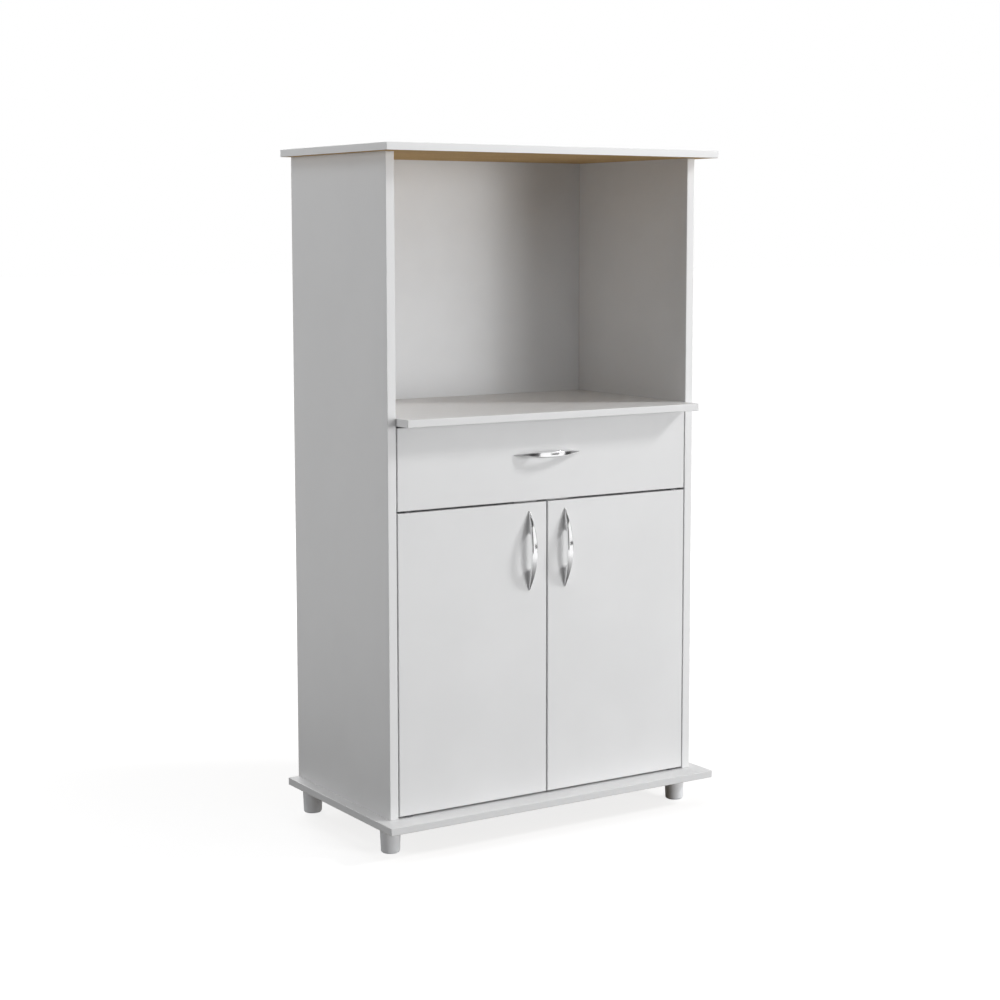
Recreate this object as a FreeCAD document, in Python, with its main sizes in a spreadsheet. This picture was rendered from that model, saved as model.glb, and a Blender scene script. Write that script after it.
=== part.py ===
# Microwave cabinet: a free-standing carcass on four feet, with an open bay on top, a drawer below it
# and a cupboard with two inset doors. Millimetres; X to the right, Y to the back, Z up.
# Origin: on the floor, below the middle of the cabinet. The sketches are laid out from the cabinet's own
# datums instead, which are its middle plane, the front plane of its side panels and the floor, so every
# body has the front plane as its placement, and pieces that fit each other share the same formulas.
import FreeCAD, Part

import math
import os
import re

import Sketcher

DOCUMENT = FreeCAD.newDocument("MicrowaveCabinet")

# Driving dimensions: alias, value, what it measures.
SIZES = (
    # Carcass
    ("outer_width", 590, "across the outer faces of the side panels"),
    ("panel_thickness", 15, "side panels"),
    ("panel_depth", 316, "side panels, front to back"),
    ("panel_height", 1040, "side panels"),
    ("base_thickness", 12, "base board"),
    ("top_thickness", 12, "top board"),
    ("side_overhang", 20, "base and top boards past each side panel"),
    ("front_overhang", 39, "base and top boards in front of the side panels"),
    ("back_thickness", 3, "hardboard back"),
    ("back_lap", 6, "back panel over the edges of the base and top boards"),
    ("back_inset", 1, "back panel's edges inside the outer faces"),
    ("edge_round", 1, "rounding of the banded edges"),
    # Open bay
    ("bay_height", 407, "clear height above the bay's shelf"),
    ("shelf_thickness", 12, "bay's shelf"),
    ("shelf_overhang", 37, "bay's shelf in front of the side panels"),
    # Cupboard
    ("inner_shelf_thickness", 12, "shelf behind the doors"),
    ("inner_shelf_height", 230, "clear height below the inner shelf"),
    ("inner_shelf_setback", 34, "inner shelf behind the front plane"),
    ("inner_shelf_play", 1, "each end of the inner shelf"),
    ("inner_shelf_back_gap", 4, "behind the inner shelf"),
    ("pin_hole_pitch", 32, "rows of shelf pin holes"),
    ("shelf_pin_setback", 30, "shelf pins inside the shelf's front and back edges"),
    ("shelf_pin_radius", 2.5, "shelf pins"),
    ("shelf_pin_reach", 9, "shelf pins out of the panel"),
    ("shelf_pin_depth", 10, "shelf pins in the panel"),
    # Feet
    ("foot_height", 46, "feet"),
    ("foot_top_radius", 17, "feet, under the base board"),
    ("foot_bottom_radius", 15.2, "feet, at the floor"),
    ("foot_edge_round", 3.5, "rounding of a foot's lower edge"),
    ("foot_end_inset", 33.3, "foot's axis inside the end of the base board"),
    ("foot_depth_inset", 24, "foot's axis inside the side panel's front and back edges"),
    ("foot_land", 14, "solid plastic between a foot's screw head and the base board"),
    ("foot_recess_radius", 6, "recess for a foot's screw"),
    ("foot_screw_reach", 10, "foot screw in the base board"),
    # Doors and drawer front
    ("front_thickness", 15, "doors and drawer front"),
    ("side_gap", 2, "doors and drawer front beside the side panels"),
    ("centre_gap", 3, "between the doors"),
    ("shelf_gap", 3.3, "drawer front under the bay's shelf"),
    ("drawer_front_height", 130, "drawer front"),
    # Pivot hinges
    ("swing_clearance", 0.6, "door's corner past the side panel while it turns"),
    ("plate_thickness", 2, "pivot plates"),
    ("plate_width", 13, "pivot plates"),
    ("plate_tail", 34, "pivot plate behind its pin"),
    ("plate_corner_radius", 5, "pivot plates"),
    ("plate_screw_first", 17, "pivot plate's first screw behind its pin"),
    ("plate_screw_pitch", 11, "between a pivot plate's screws"),
    ("plate_door_gap", 0.5, "upper plate over the door"),
    ("plate_drawer_gap", 0.8, "upper plate under the drawer front"),
    ("collar_height", 1, "shoulder of a lower pin"),
    ("collar_radius", 4.5, "shoulder of a lower pin"),
    ("bearing_gap", 0.3, "door's bush over the shoulder"),
    ("pivot_radius", 2.5, "pivot pins"),
    ("pivot_reach", 12, "pivot pins in the door"),
    ("pivot_play", 0.05, "pin in its bush, radial"),
    ("bush_radius", 4, "bush barrel"),
    ("bush_length", 14, "bush, with its flange"),
    ("bush_flange_radius", 6, "bush flange"),
    ("bush_flange_thickness", 1.2, "bush flange"),
    # Rail between the drawer and the cupboard
    ("rail_thickness", 12, "rail"),
    ("rail_depth", 80, "rail, front to back"),
    ("rail_gap", 0.5, "rail behind the drawer front"),
    ("rail_dowel_inset", 38, "rail's dowels behind its front edge"),
    ("rail_cam_inset", 60, "rail's cam bolts behind its front edge"),
    # Magnetic catches
    ("catch_length", 44, "catch housing"),
    ("catch_depth", 13, "catch housing"),
    ("catch_height", 12, "catch housing"),
    ("catch_offset", 9, "catch housing from the middle plane"),
    ("catch_gap", 0.4, "magnet in front of its strike plate"),
    ("magnet_length", 22, "catch magnet"),
    ("magnet_depth", 9, "catch magnet"),
    ("magnet_height", 7, "catch magnet"),
    ("magnet_rise", 2, "magnet above the housing's lower face"),
    ("strike_thickness", 1.2, "strike plate"),
    ("strike_length", 30, "strike plate"),
    ("strike_height", 8, "strike plate"),
    ("strike_drop", 1, "strike plate's middle below its magnet's"),
    ("strike_peg_radius", 2.5, "strike plate's peg"),
    ("strike_peg_reach", 8, "strike plate's peg in the door"),
    # Bow handles
    ("handle_length", 130, "handle, tip to tip"),
    ("handle_width", 10.5, "handle at its middle"),
    ("handle_tip_width", 1.6, "handle at its tips"),
    ("handle_tip_height", 1.2, "handle's tips in front of the door"),
    ("handle_projection", 19, "handle in front of the door"),
    ("handle_thickness", 4.5, "handle's bow"),
    ("handle_foot", 33, "each foot of a handle along the door"),
    ("handle_round", 0.7, "rounding of a handle's front edges"),
    ("handle_hole_spacing", 96, "between a handle's screws"),
    ("handle_screw_reach", 6.5, "handle screw in the handle"),
    ("door_handle_offset", 34.8, "door handle's middle from the cabinet's"),
    ("door_handle_drop", 13, "door handle's tip below the door's top edge"),
    ("drawer_handle_drop", 55, "drawer handle below the drawer front's top edge"),
    # Drawer box
    ("box_thickness", 12, "drawer's sides, inner front and back"),
    ("box_height", 95, "drawer box"),
    ("box_depth", 255, "drawer box"),
    ("bottom_thickness", 3, "drawer bottom"),
    ("groove_depth", 6, "grooves for the drawer bottom"),
    ("groove_rise", 12, "grooves above the box's lower edge"),
    ("groove_play", 0.15, "drawer bottom in its grooves"),
    ("box_screw_low", 32, "box screws above the box's lower edge"),
    ("box_screw_pitch", 42, "between box screws"),
    ("front_screw_spacing", 400, "between the screws of the drawer front"),
    # Roller runners
    ("runner_gap", 12.5, "between the drawer box and a side panel"),
    ("runner_length", 250, "runners"),
    ("runner_setback", 17, "runners behind the front plane"),
    ("runner_rise", 3, "runners above the rail"),
    ("runner_sheet", 1.2, "runners' sheet steel"),
    ("runner_play", 0.3, "rollers against their tracks"),
    ("runner_side_play", 0.5, "between moving and fixed runner parts, sideways"),
    ("upper_flange", 9, "upper flange of the cabinet runner"),
    ("entry_length", 40, "open front end of the cabinet runner"),
    ("roller_radius", 7, "rollers"),
    ("roller_width", 6, "rollers"),
    ("roller_setback", 10, "roller's axis from the runner's end"),
    ("roller_edge_round", 0.6, "rounding of a roller's edges"),
    ("axle_radius", 2, "roller axles"),
    ("axle_head_radius", 3.2, "roller axles"),
    ("axle_head_thickness", 0.8, "roller axles"),
    ("runner_screw_first", 37, "runner's first screw from its front end"),
    ("runner_screw_pitch", 96, "between a runner's screws"),
    # Fasteners
    ("press", 0.02, "around a piece pressed or screwed in, radial"),
    ("carcass_screw_length", 50, "carcass screws"),
    ("carcass_screw_radius", 3.5, "carcass screw in the base and top boards"),
    ("carcass_thread_radius", 2.5, "carcass screw in a side panel"),
    ("carcass_head_radius", 5, "carcass screw heads"),
    ("carcass_head_thickness", 2.5, "carcass screw heads"),
    ("screw_setback", 75, "carcass screws from a side panel's front and back edges"),
    ("cap_radius", 6.5, "caps over the top board's screws"),
    ("cap_thickness", 1, "caps over the top board's screws"),
    ("dowel_radius", 4, "dowels"),
    ("dowel_length", 30, "dowels"),
    ("dowel_short_end", 8, "dowel in the thinner piece of a joint"),
    ("dowel_setback", 48, "dowels from a side panel's front and back edges"),
    ("cam_radius", 7.5, "cam locks"),
    ("cam_depth", 9.5, "cam locks"),
    ("cam_setback", 24, "cam's axis from the end of its board"),
    ("cam_bolt_setback", 80, "shelf's cam bolts from a side panel's front and back edges"),
    ("cam_bolt_reach", 10, "cam bolt in the side panel"),
    ("cam_bolt_thread_radius", 2.5, "cam bolt in the side panel"),
    ("cam_bolt_shank_radius", 2, "cam bolt in the board"),
    ("cam_bolt_head_radius", 3, "cam bolt's head"),
    ("cam_bolt_head_length", 3, "cam bolt's head"),
    ("cam_bolt_hole_radius", 3.4, "hole for the cam bolt"),
    ("cam_slot_width", 1.8, "driver slot of a cam lock"),
    ("cam_slot_length", 10, "driver slot of a cam lock"),
    ("cam_slot_depth", 1.5, "driver slot of a cam lock"),
    ("small_screw_radius", 1.6, "small wood screws"),
    ("small_screw_length", 10, "small wood screws"),
    ("small_head_radius", 3, "small wood screws"),
    ("small_head_thickness", 1.2, "small wood screws"),
    ("box_screw_radius", 2, "drawer box screws"),
    ("box_screw_length", 35, "drawer box screws"),
    ("front_screw_length", 22, "screws from the inner front to the drawer front"),
    ("box_head_radius", 3.8, "drawer box screws"),
    ("box_head_thickness", 2, "drawer box screws"),
    ("foot_screw_radius", 2, "foot screws"),
    ("foot_head_radius", 4, "foot screws"),
    ("foot_head_thickness", 3, "foot screws"),
    ("handle_screw_radius", 2, "handle screws"),
    ("handle_screw_head_radius", 4.2, "handle screws"),
    ("handle_screw_head_thickness", 2.4, "handle screws"),
    ("recess_length", 3.6, "cross recess of a screw head"),
    ("recess_width", 0.9, "cross recess of a screw head"),
    ("recess_depth", 0.8, "cross recess of a screw head"),
    ("nail_radius", 0.8, "back panel nails"),
    ("nail_length", 16, "back panel nails"),
    ("nail_head_radius", 1.8, "back panel nails"),
    ("nail_head_thickness", 0.6, "back panel nails"),
)

# Worked out from the driving dimensions: alias, formula, what it measures.
LAYOUT = (
    ("outer_half", "outer_width / 2", "outer face of a side panel"),
    ("inner_half", "outer_half - panel_thickness", "inner face of a side panel"),
    ("panel_mid", "outer_half - panel_thickness / 2", "middle of a side panel's thickness"),
    ("board_half", "outer_half + side_overhang", "end of the base and top boards"),
    ("total_depth", "front_overhang + panel_depth + back_thickness", "cabinet"),
    ("front_y", "front_overhang - total_depth / 2", "front plane, from the middle of the depth"),
    ("base_top", "foot_height + base_thickness", "upper face of the base board"),
    ("panel_top", "base_top + panel_height", "lower face of the top board"),
    ("total_height", "panel_top + top_thickness", "cabinet"),
    ("shelf_top", "panel_top - bay_height", "upper face of the bay's shelf"),
    ("shelf_bottom", "shelf_top - shelf_thickness", "lower face of the bay's shelf"),
    ("shelf_mid", "shelf_top - shelf_thickness / 2", "middle of that shelf's thickness"),
    ("inner_shelf_bottom", "base_top + inner_shelf_height", "lower face of the inner shelf"),
    ("inner_shelf_back", "panel_depth - inner_shelf_back_gap", "back edge of the inner shelf"),
    ("shelf_pin_z", "inner_shelf_bottom - shelf_pin_radius - press", "axis of the shelf pins"),
    ("foot_x", "board_half - foot_end_inset", "axis of a foot"),
    ("front_half", "inner_half - side_gap", "outer edge of a door or the drawer front"),
    ("drawer_front_top", "shelf_bottom - shelf_gap", "upper edge of the drawer front"),
    ("drawer_front_bottom", "drawer_front_top - drawer_front_height", "its lower edge"),
    ("plate_bottom", "drawer_front_bottom - plate_drawer_gap - plate_thickness", "upper plates"),
    ("door_top", "plate_bottom - plate_door_gap", "upper edge of the doors"),
    ("door_bottom", "base_top + plate_thickness + collar_height + bearing_gap", "their lower edge"),
    ("sweep", "side_gap - swing_clearance", "how far a door's corner swings past its edge"),
    ("pivot_inset", "(pow(front_thickness / 2; 2) - pow(sweep; 2)) / (2 * sweep)", "pivot from the edge"),
    ("pivot_x", "front_half - pivot_inset", "axis of a door's pivot"),
    ("pivot_y", "front_thickness / 2", "axis of a door's pivot"),
    ("rail_bottom", "plate_bottom + plate_thickness", "lower face of the rail"),
    ("rail_top", "rail_bottom + rail_thickness", "upper face of the rail"),
    ("rail_mid", "rail_bottom + rail_thickness / 2", "middle of the rail's thickness"),
    ("rail_front", "front_thickness + rail_gap", "front edge of the rail"),
    ("rail_back", "rail_front + rail_depth", "back edge of the rail"),
    ("catch_front", "front_thickness + strike_thickness + catch_gap", "front face of the catches"),
    ("catch_bottom", "rail_bottom - catch_height", "lower face of the catches"),
    ("catch_mid", "catch_offset + catch_length / 2", "middle of a catch"),
    ("magnet_bottom", "catch_bottom + magnet_rise", "lower face of the magnets"),
    ("strike_z", "magnet_bottom + magnet_height / 2 - strike_drop", "middle of the strike plates"),
    ("bow_rise", "handle_projection - handle_tip_height", "front face of a handle, from its tips"),
    ("bow_radius", "(pow(handle_length / 2; 2) + pow(bow_rise; 2)) / (2 * bow_rise)", "that face"),
    ("bow_centre", "bow_radius - handle_projection", "bow's axis behind the handle's mounting face"),
    ("door_handle_z", "door_top - door_handle_drop - handle_length / 2", "middle of the door handles"),
    ("drawer_handle_z", "drawer_front_top - drawer_handle_drop", "drawer handle"),
    ("runner_z", "rail_top + runner_rise", "lower face of the runners"),
    ("runner_back", "runner_setback + runner_length", "rear end of the runners"),
    ("roller_z", "runner_z + runner_sheet + runner_play + roller_radius", "axes of the rollers"),
    ("track_z", "roller_z + roller_radius + runner_play", "lower face of the drawer runner's track"),
    ("runner_top", "track_z + 2 * runner_sheet + runner_play", "top of the cabinet runner"),
    ("runner_web_z", "(runner_z + runner_top) / 2", "middle of the cabinet runner's web"),
    ("front_roller_y", "runner_setback + roller_setback", "axis of the cabinet's rollers"),
    ("rear_roller_y", "runner_back - roller_setback", "axis of the drawer's rollers"),
    ("box_outer", "inner_half - runner_gap", "outer face of the drawer box"),
    ("box_inner", "box_outer - box_thickness", "inner face of a drawer side"),
    ("box_bottom", "runner_z + 2 * runner_sheet", "lower edge of the drawer box"),
    ("box_top", "box_bottom + box_height", "upper edge of the drawer box"),
    ("box_back", "front_thickness + box_depth", "rear face of the drawer box"),
    ("inner_front_back", "front_thickness + box_thickness", "rear face of the inner front"),
    ("groove_bottom", "box_bottom + groove_rise", "grooves for the drawer bottom"),
    ("groove_top", "groove_bottom + bottom_thickness + 2 * groove_play", "the same"),
)

HOME = {row[0]: "Sizes" for row in SIZES} | {row[0]: "Layout" for row in LAYOUT}
SIDES = {"left": -1, "right": 1}
NAILS_PER_PANEL = 8
NAILS_PER_BOARD = 3
PIECES = []


def qualified(formula):
    """Name the sheet in front of each size in a formula."""
    return re.sub(r"[a-z_]+", lambda word: f"{HOME[word[0]]}.{word[0]}" if word[0] in HOME else word[0],
                  str(formula))


def fill_sheet(name, rows):
    """Make a sheet with one named value in each row."""
    sheet = DOCUMENT.addObject("Spreadsheet::Sheet", name)
    for number, (alias, content, note) in enumerate(rows, 1):
        sheet.set(f"A{number}", f"{alias}: {note}")
        sheet.set(f"B{number}", f"={qualified(content)}" if isinstance(content, str) else str(content))
        sheet.setAlias(f"B{number}", alias)
    DOCUMENT.recompute()
    return sheet


SIZE_SHEET = fill_sheet("Sizes", SIZES)
LAYOUT_SHEET = fill_sheet("Layout", LAYOUT)


def value(formula):
    """The number that a formula comes to now."""
    return float(LAYOUT_SHEET.evalExpression(qualified(formula)))


def bind(target, path, formula):
    """Tie a property of an object to a formula."""
    target.setExpression(path, qualified(formula))


def on_side(side, formula):
    """A formula for the right-hand side, mirrored for the left."""
    return str(formula) if side > 0 else f"-({formula})"


def span_on_side(side, low, high):
    """A span in X for the right-hand side, mirrored for the left."""
    return (low, high) if side > 0 else (f"-({high})", f"-({low})")


def both_sides(formula):
    """The same distance to the left and to the right."""
    return on_side(-1, formula), on_side(1, formula)


def grid(firsts, seconds):
    """Every pair of two lists of formulas."""
    return [(first, second) for first in firsts for second in seconds]


def from_both_edges(inset, low, high):
    """Two places at the same inset from the two ends of a span."""
    return f"{low} + {inset}", f"{high} - {inset}"


class Piece:
    """One sub-part of the cabinet: a body whose features take their sizes from the sheets."""

    def __init__(self, label, x="0", y="front_y", z="0"):
        self.body = DOCUMENT.addObject("PartDesign::Body", label)
        self.body.Label = label
        self.body.AllowCompound = True
        for axis, formula in (("x", x), ("y", y), ("z", z)):
            bind(self.body, f"Placement.Base.{axis}", formula)
        PIECES.append(self.body)

    def datum(self, role):
        """A plane or an axis of the body's own origin."""
        return next(item for item in self.body.Origin.OriginFeatures if item.Role == role)

    def sketch(self, role, level):
        """An empty sketch, parallel to an origin plane at a level along that plane's axis."""
        sketch = self.body.newObject("Sketcher::SketchObject", f"{self.body.Label}_sketch")
        sketch.AttachmentSupport = [(self.datum(role), "")]
        sketch.MapMode = "FlatFace"
        bind(sketch, "AttachmentOffset.Base.z", f"-({level})" if role == "XZ_Plane" else level)
        return sketch

    def extrude(self, kind, sketch, role, span):
        """Pad or pocket a sketch over a span along the plane's axis, towards plus."""
        feature = self.body.newObject(f"PartDesign::{kind}", f"{self.body.Label}_{kind.lower()}")
        feature.Profile = sketch
        feature.Reversed = (role == "XZ_Plane") == (kind == "Pad")
        bind(feature, "Length", f"({span[1]}) - ({span[0]})")
        sketch.Visibility = False
        return feature

    def outline(self, sketch, corners):
        """Draw a closed outline. A corner is two formulas, or four to leave it on an arc: the arc's
        radius, and 1 or -1 for an arc that bulges to the left or right of the way it is drawn."""
        points = [FreeCAD.Vector(value(corner[0]), value(corner[1]), 0) for corner in corners]
        first = sketch.GeometryCount
        count = len(corners)
        for index, corner in enumerate(corners):
            start, end = points[index], points[(index + 1) % count]
            if len(corner) == 2:
                sketch.addGeometry(Part.LineSegment(start, end), False)
                continue
            along = (end - start) / 2
            rise = value(corner[2]) - math.sqrt(value(corner[2]) ** 2 - along.Length ** 2)
            outward = FreeCAD.Vector(-along.y, along.x, 0).normalize() * corner[3] * rise
            arc = Part.Arc(start, start + along + outward, end)
            sketch.addGeometry(arc, False)
            radius = sketch.addConstraint(Sketcher.Constraint("Radius", first + index, value(corner[2])))
            bind(sketch, f"Constraints[{radius}]", corner[2])
        for index, corner in enumerate(corners):
            follower = (index + 1) % count
            ends = [self.end_towards(sketch, first + number, points[follower])
                    for number in (index, follower)]
            sketch.addConstraint(
                Sketcher.Constraint("Coincident", first + index, ends[0], first + follower, ends[1]))
            start = self.end_towards(sketch, first + index, points[index])
            self.pin(sketch, first + index, start, corner)

    @staticmethod
    def end_towards(sketch, geometry, point):
        """Which end of a line or an arc lies at a point: 1 for its start, 2 for its end."""
        return min((1, 2), key=lambda end: (sketch.getPoint(geometry, end) - point).Length)

    @staticmethod
    def pin(sketch, geometry, end, place):
        """Tie a point of a sketch to two formulas, measured from the sketch's origin."""
        for kind, formula in (("DistanceX", place[0]), ("DistanceY", place[1])):
            number = sketch.addConstraint(Sketcher.Constraint(kind, -1, 1, geometry, end, value(formula)))
            bind(sketch, f"Constraints[{number}]", formula)

    def circles(self, sketch, radius, centres):
        """Draw circles of one radius."""
        for centre in centres:
            place = FreeCAD.Vector(value(centre[0]), value(centre[1]), 0)
            circle = Part.Circle(place, FreeCAD.Vector(0, 0, 1), value(radius))
            geometry = sketch.addGeometry(circle, False)
            self.pin(sketch, geometry, 3, centre)
            number = sketch.addConstraint(Sketcher.Constraint("Radius", geometry, value(radius)))
            bind(sketch, f"Constraints[{number}]", radius)

    def profile(self, kind, role, span, *outlines):
        """Pad or pocket closed outlines over a span."""
        sketch = self.sketch(role, span[0])
        for corners in outlines:
            self.outline(sketch, corners)
        return self.extrude(kind, sketch, role, span)

    def slab(self, xs, ys, zs):
        """Add a board between three spans."""
        return self.profile("Pad", "XY_Plane", zs, rectangle(xs, ys))

    def cut(self, xs, ys, zs):
        """Take away what lies between three spans."""
        return self.profile("Pocket", "XY_Plane", zs, rectangle(xs, ys))

    def rods(self, role, span, radius, centres):
        """Add round rods over a span."""
        sketch = self.sketch(role, span[0])
        self.circles(sketch, radius, centres)
        return self.extrude("Pad", sketch, role, span)

    def bores(self, role, span, radius, centres):
        """Take away round holes over a span."""
        sketch = self.sketch(role, span[0])
        self.circles(sketch, radius, centres)
        return self.extrude("Pocket", sketch, role, span)

    def recesses(self, role, span, centres):
        """Cut a cross recess in the screw heads at some centres."""
        for across, along in (("recess_length", "recess_width"), ("recess_width", "recess_length")):
            outlines = [rectangle((f"{x} - {across} / 2", f"{x} + {across} / 2"),
                                  (f"{y} - {along} / 2", f"{y} + {along} / 2")) for x, y in centres]
            self.profile("Pocket", role, span, *outlines)

    def round(self, radius, chosen):
        """Fillet the edges that a test picks."""
        DOCUMENT.recompute()
        base = self.body.Tip
        names = [f"Edge{number}" for number, edge in enumerate(base.Shape.Edges, 1) if chosen(edge)]
        fillet = self.body.newObject("PartDesign::Fillet", f"{self.body.Label}_fillet")
        fillet.Base = (base, names)
        bind(fillet, "Radius", radius)
        return fillet


def rectangle(xs, ys):
    """Corners of a rectangle between two spans."""
    return [(xs[0], ys[0]), (xs[1], ys[0]), (xs[1], ys[1]), (xs[0], ys[1])]


def lies_on(edge, axis, formula):
    """Whether a straight edge lies in the plane at a level along an axis."""
    level = value(formula)
    return edge.Curve.TypeId == "Part::GeomLine" and all(
        abs(getattr(vertex.Point, axis) - level) < 1e-6 for vertex in edge.Vertexes)


def band_edges(piece, *faces):
    """Round the edges around the banded faces of a board."""
    piece.round("edge_round", lambda edge: any(lies_on(edge, axis, level) for axis, level in faces))


# Where the fasteners are. Holes and fasteners are made from the same places.
SCREW_YS = from_both_edges("screw_setback", "0", "panel_depth")
DOWEL_YS = from_both_edges("dowel_setback", "0", "panel_depth")
CAM_YS = from_both_edges("cam_bolt_setback", "0", "panel_depth")
CARCASS_SCREWS = grid(both_sides("panel_mid"), SCREW_YS)
CARCASS_DOWELS = grid(both_sides("panel_mid"), DOWEL_YS)
FOOT_YS = from_both_edges("foot_depth_inset", "0", "panel_depth")
FOOT_CENTRES = grid(both_sides("foot_x"), FOOT_YS)
BASE_HEADS = ("foot_height", "foot_height + carcass_head_thickness")
BASE_SHANKS = ("foot_height + carcass_head_thickness", "base_top")
BASE_THREADS = ("base_top", "foot_height + carcass_screw_length")
TOP_CAPS = ("total_height - cap_thickness", "total_height")
TOP_HEADS = ("total_height - cap_thickness - carcass_head_thickness", TOP_CAPS[0])
TOP_SHANKS = ("panel_top", TOP_HEADS[0])
TOP_THREADS = ("total_height - cap_thickness - carcass_screw_length", "panel_top")
BASE_DOWELS = ("base_top - dowel_short_end", "base_top - dowel_short_end + dowel_length")
TOP_DOWELS = ("panel_top + dowel_short_end - dowel_length", "panel_top + dowel_short_end")
SHELF_CAMS = [(y, "shelf_mid") for y in CAM_YS]
SHELF_DOWELS = [(y, "shelf_mid") for y in DOWEL_YS]
RAIL_CAMS = [("rail_front + rail_cam_inset", "rail_mid")]
RAIL_DOWELS = [("rail_front + rail_dowel_inset", "rail_mid")]
SHELF_PINS = [(y, "shelf_pin_z")
              for y in from_both_edges("shelf_pin_setback", "inner_shelf_setback", "inner_shelf_back")]
SHELF_PIN_HOLES = [(y, f"{z} + {step} * pin_hole_pitch") for y, z in SHELF_PINS for step in (-1, 0, 1)]
PANEL_NAILS = [f"base_top + panel_height * {(number + 0.5) / NAILS_PER_PANEL}"
               for number in range(NAILS_PER_PANEL)]
BOARD_NAILS = [f"outer_width * {(number + 1) / (NAILS_PER_BOARD + 1) - 0.5}"
               for number in range(NAILS_PER_BOARD)]
BASE_NAILS = grid(BOARD_NAILS, ["base_top - back_lap / 2"])
SHELF_NAILS = grid(BOARD_NAILS, ["shelf_mid"])
TOP_NAILS = grid(BOARD_NAILS, ["panel_top + back_lap / 2"])
NAILS = grid(both_sides("panel_mid"), PANEL_NAILS) + BASE_NAILS + SHELF_NAILS + TOP_NAILS
NAIL_SPAN = ("panel_depth + back_thickness - nail_length", "panel_depth + back_thickness")
RUNNER_SCREW_YS = [f"runner_setback + runner_screw_first + {step} * runner_screw_pitch" for step in range(3)]
PLATE_SCREW_YS = ["pivot_y + plate_screw_first", "pivot_y + plate_screw_first + plate_screw_pitch"]
CATCH_SCREW_XS = [f"catch_mid {sign} (catch_length + magnet_length) / 4" for sign in "-+"]
CATCH_SCREWS = [(x, "catch_front + catch_depth / 2") for offset in CATCH_SCREW_XS for x in both_sides(offset)]
BOX_SCREW_ZS = ["box_bottom + box_screw_low", "box_bottom + box_screw_low + box_screw_pitch"]
BOX_SCREWS = grid(["front_thickness + box_thickness / 2", "box_back - box_thickness / 2"], BOX_SCREW_ZS)
FRONT_SCREWS = grid(both_sides("front_screw_spacing / 2"), BOX_SCREW_ZS)
DRAWER_HANDLE_HOLES = [(x, "drawer_handle_z") for x in both_sides("handle_hole_spacing / 2")]


def door_handle_holes(side):
    """Where a door handle's screws are, seen from the front."""
    return [(on_side(side, "door_handle_offset"), f"door_handle_z {sign} handle_hole_spacing / 2")
            for sign in "-+"]


def base_board():
    """The board that the cabinet stands on, over the feet."""
    piece = Piece("base_board")
    piece.slab(("-board_half", "board_half"), ("-front_overhang", "panel_depth"), ("foot_height", "base_top"))
    band_edges(piece, ("y", "-front_overhang"), ("x", "-board_half"), ("x", "board_half"))
    piece.bores("XY_Plane", BASE_HEADS, "carcass_head_radius + press", CARCASS_SCREWS)
    piece.bores("XY_Plane", BASE_SHANKS, "carcass_screw_radius + press", CARCASS_SCREWS)
    piece.bores("XY_Plane", (BASE_DOWELS[0], "base_top"), "dowel_radius + press", CARCASS_DOWELS)
    piece.bores("XY_Plane", ("foot_height", "foot_height + foot_screw_reach"),
                "foot_screw_radius + press", FOOT_CENTRES)
    piece.bores("XY_Plane", ("base_top + plate_thickness - small_screw_length", "base_top"),
                "small_screw_radius + press", grid(both_sides("pivot_x"), PLATE_SCREW_YS))
    nail_holes(piece, BASE_NAILS)


def top_board():
    """The board over the open bay."""
    piece = Piece("top_board")
    piece.slab(("-board_half", "board_half"), ("-front_overhang", "panel_depth"),
               ("panel_top", "total_height"))
    band_edges(piece, ("y", "-front_overhang"), ("x", "-board_half"), ("x", "board_half"))
    piece.bores("XY_Plane", TOP_CAPS, "cap_radius + press", CARCASS_SCREWS)
    piece.bores("XY_Plane", TOP_HEADS, "carcass_head_radius + press", CARCASS_SCREWS)
    piece.bores("XY_Plane", TOP_SHANKS, "carcass_screw_radius + press", CARCASS_SCREWS)
    piece.bores("XY_Plane", ("panel_top", TOP_DOWELS[1]), "dowel_radius + press", CARCASS_DOWELS)
    nail_holes(piece, TOP_NAILS)


def nail_holes(piece, nails):
    """Pilot holes in a board's back edge."""
    piece.bores("XZ_Plane", (NAIL_SPAN[0], "panel_depth"), "nail_radius + press", nails)


def side_panel(name, side):
    """An upright panel of the carcass."""
    piece = Piece(f"side_panel_{name}")
    piece.slab(span_on_side(side, "inner_half", "outer_half"), ("0", "panel_depth"),
               ("base_top", "panel_top"))
    band_edges(piece, ("y", "0"))
    own_x = [on_side(side, "panel_mid")]
    for threads in (BASE_THREADS, TOP_THREADS):
        piece.bores("XY_Plane", threads, "carcass_thread_radius + press", grid(own_x, SCREW_YS))
    for dowels in (("base_top", BASE_DOWELS[1]), (TOP_DOWELS[0], "panel_top")):
        piece.bores("XY_Plane", dowels, "dowel_radius + press", grid(own_x, DOWEL_YS))
    for depth, radius, centres in (
            ("dowel_short_end", "dowel_radius", SHELF_DOWELS + RAIL_DOWELS),
            ("cam_bolt_reach", "cam_bolt_thread_radius", SHELF_CAMS + RAIL_CAMS),
            ("shelf_pin_depth", "shelf_pin_radius", SHELF_PIN_HOLES),
            ("small_screw_length - runner_sheet", "small_screw_radius",
             [(y, "runner_web_z") for y in RUNNER_SCREW_YS])):
        piece.bores("YZ_Plane", span_on_side(side, "inner_half", f"inner_half + {depth}"),
                    f"{radius} + press", centres)
    nail_holes(piece, grid(own_x, PANEL_NAILS))


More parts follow.
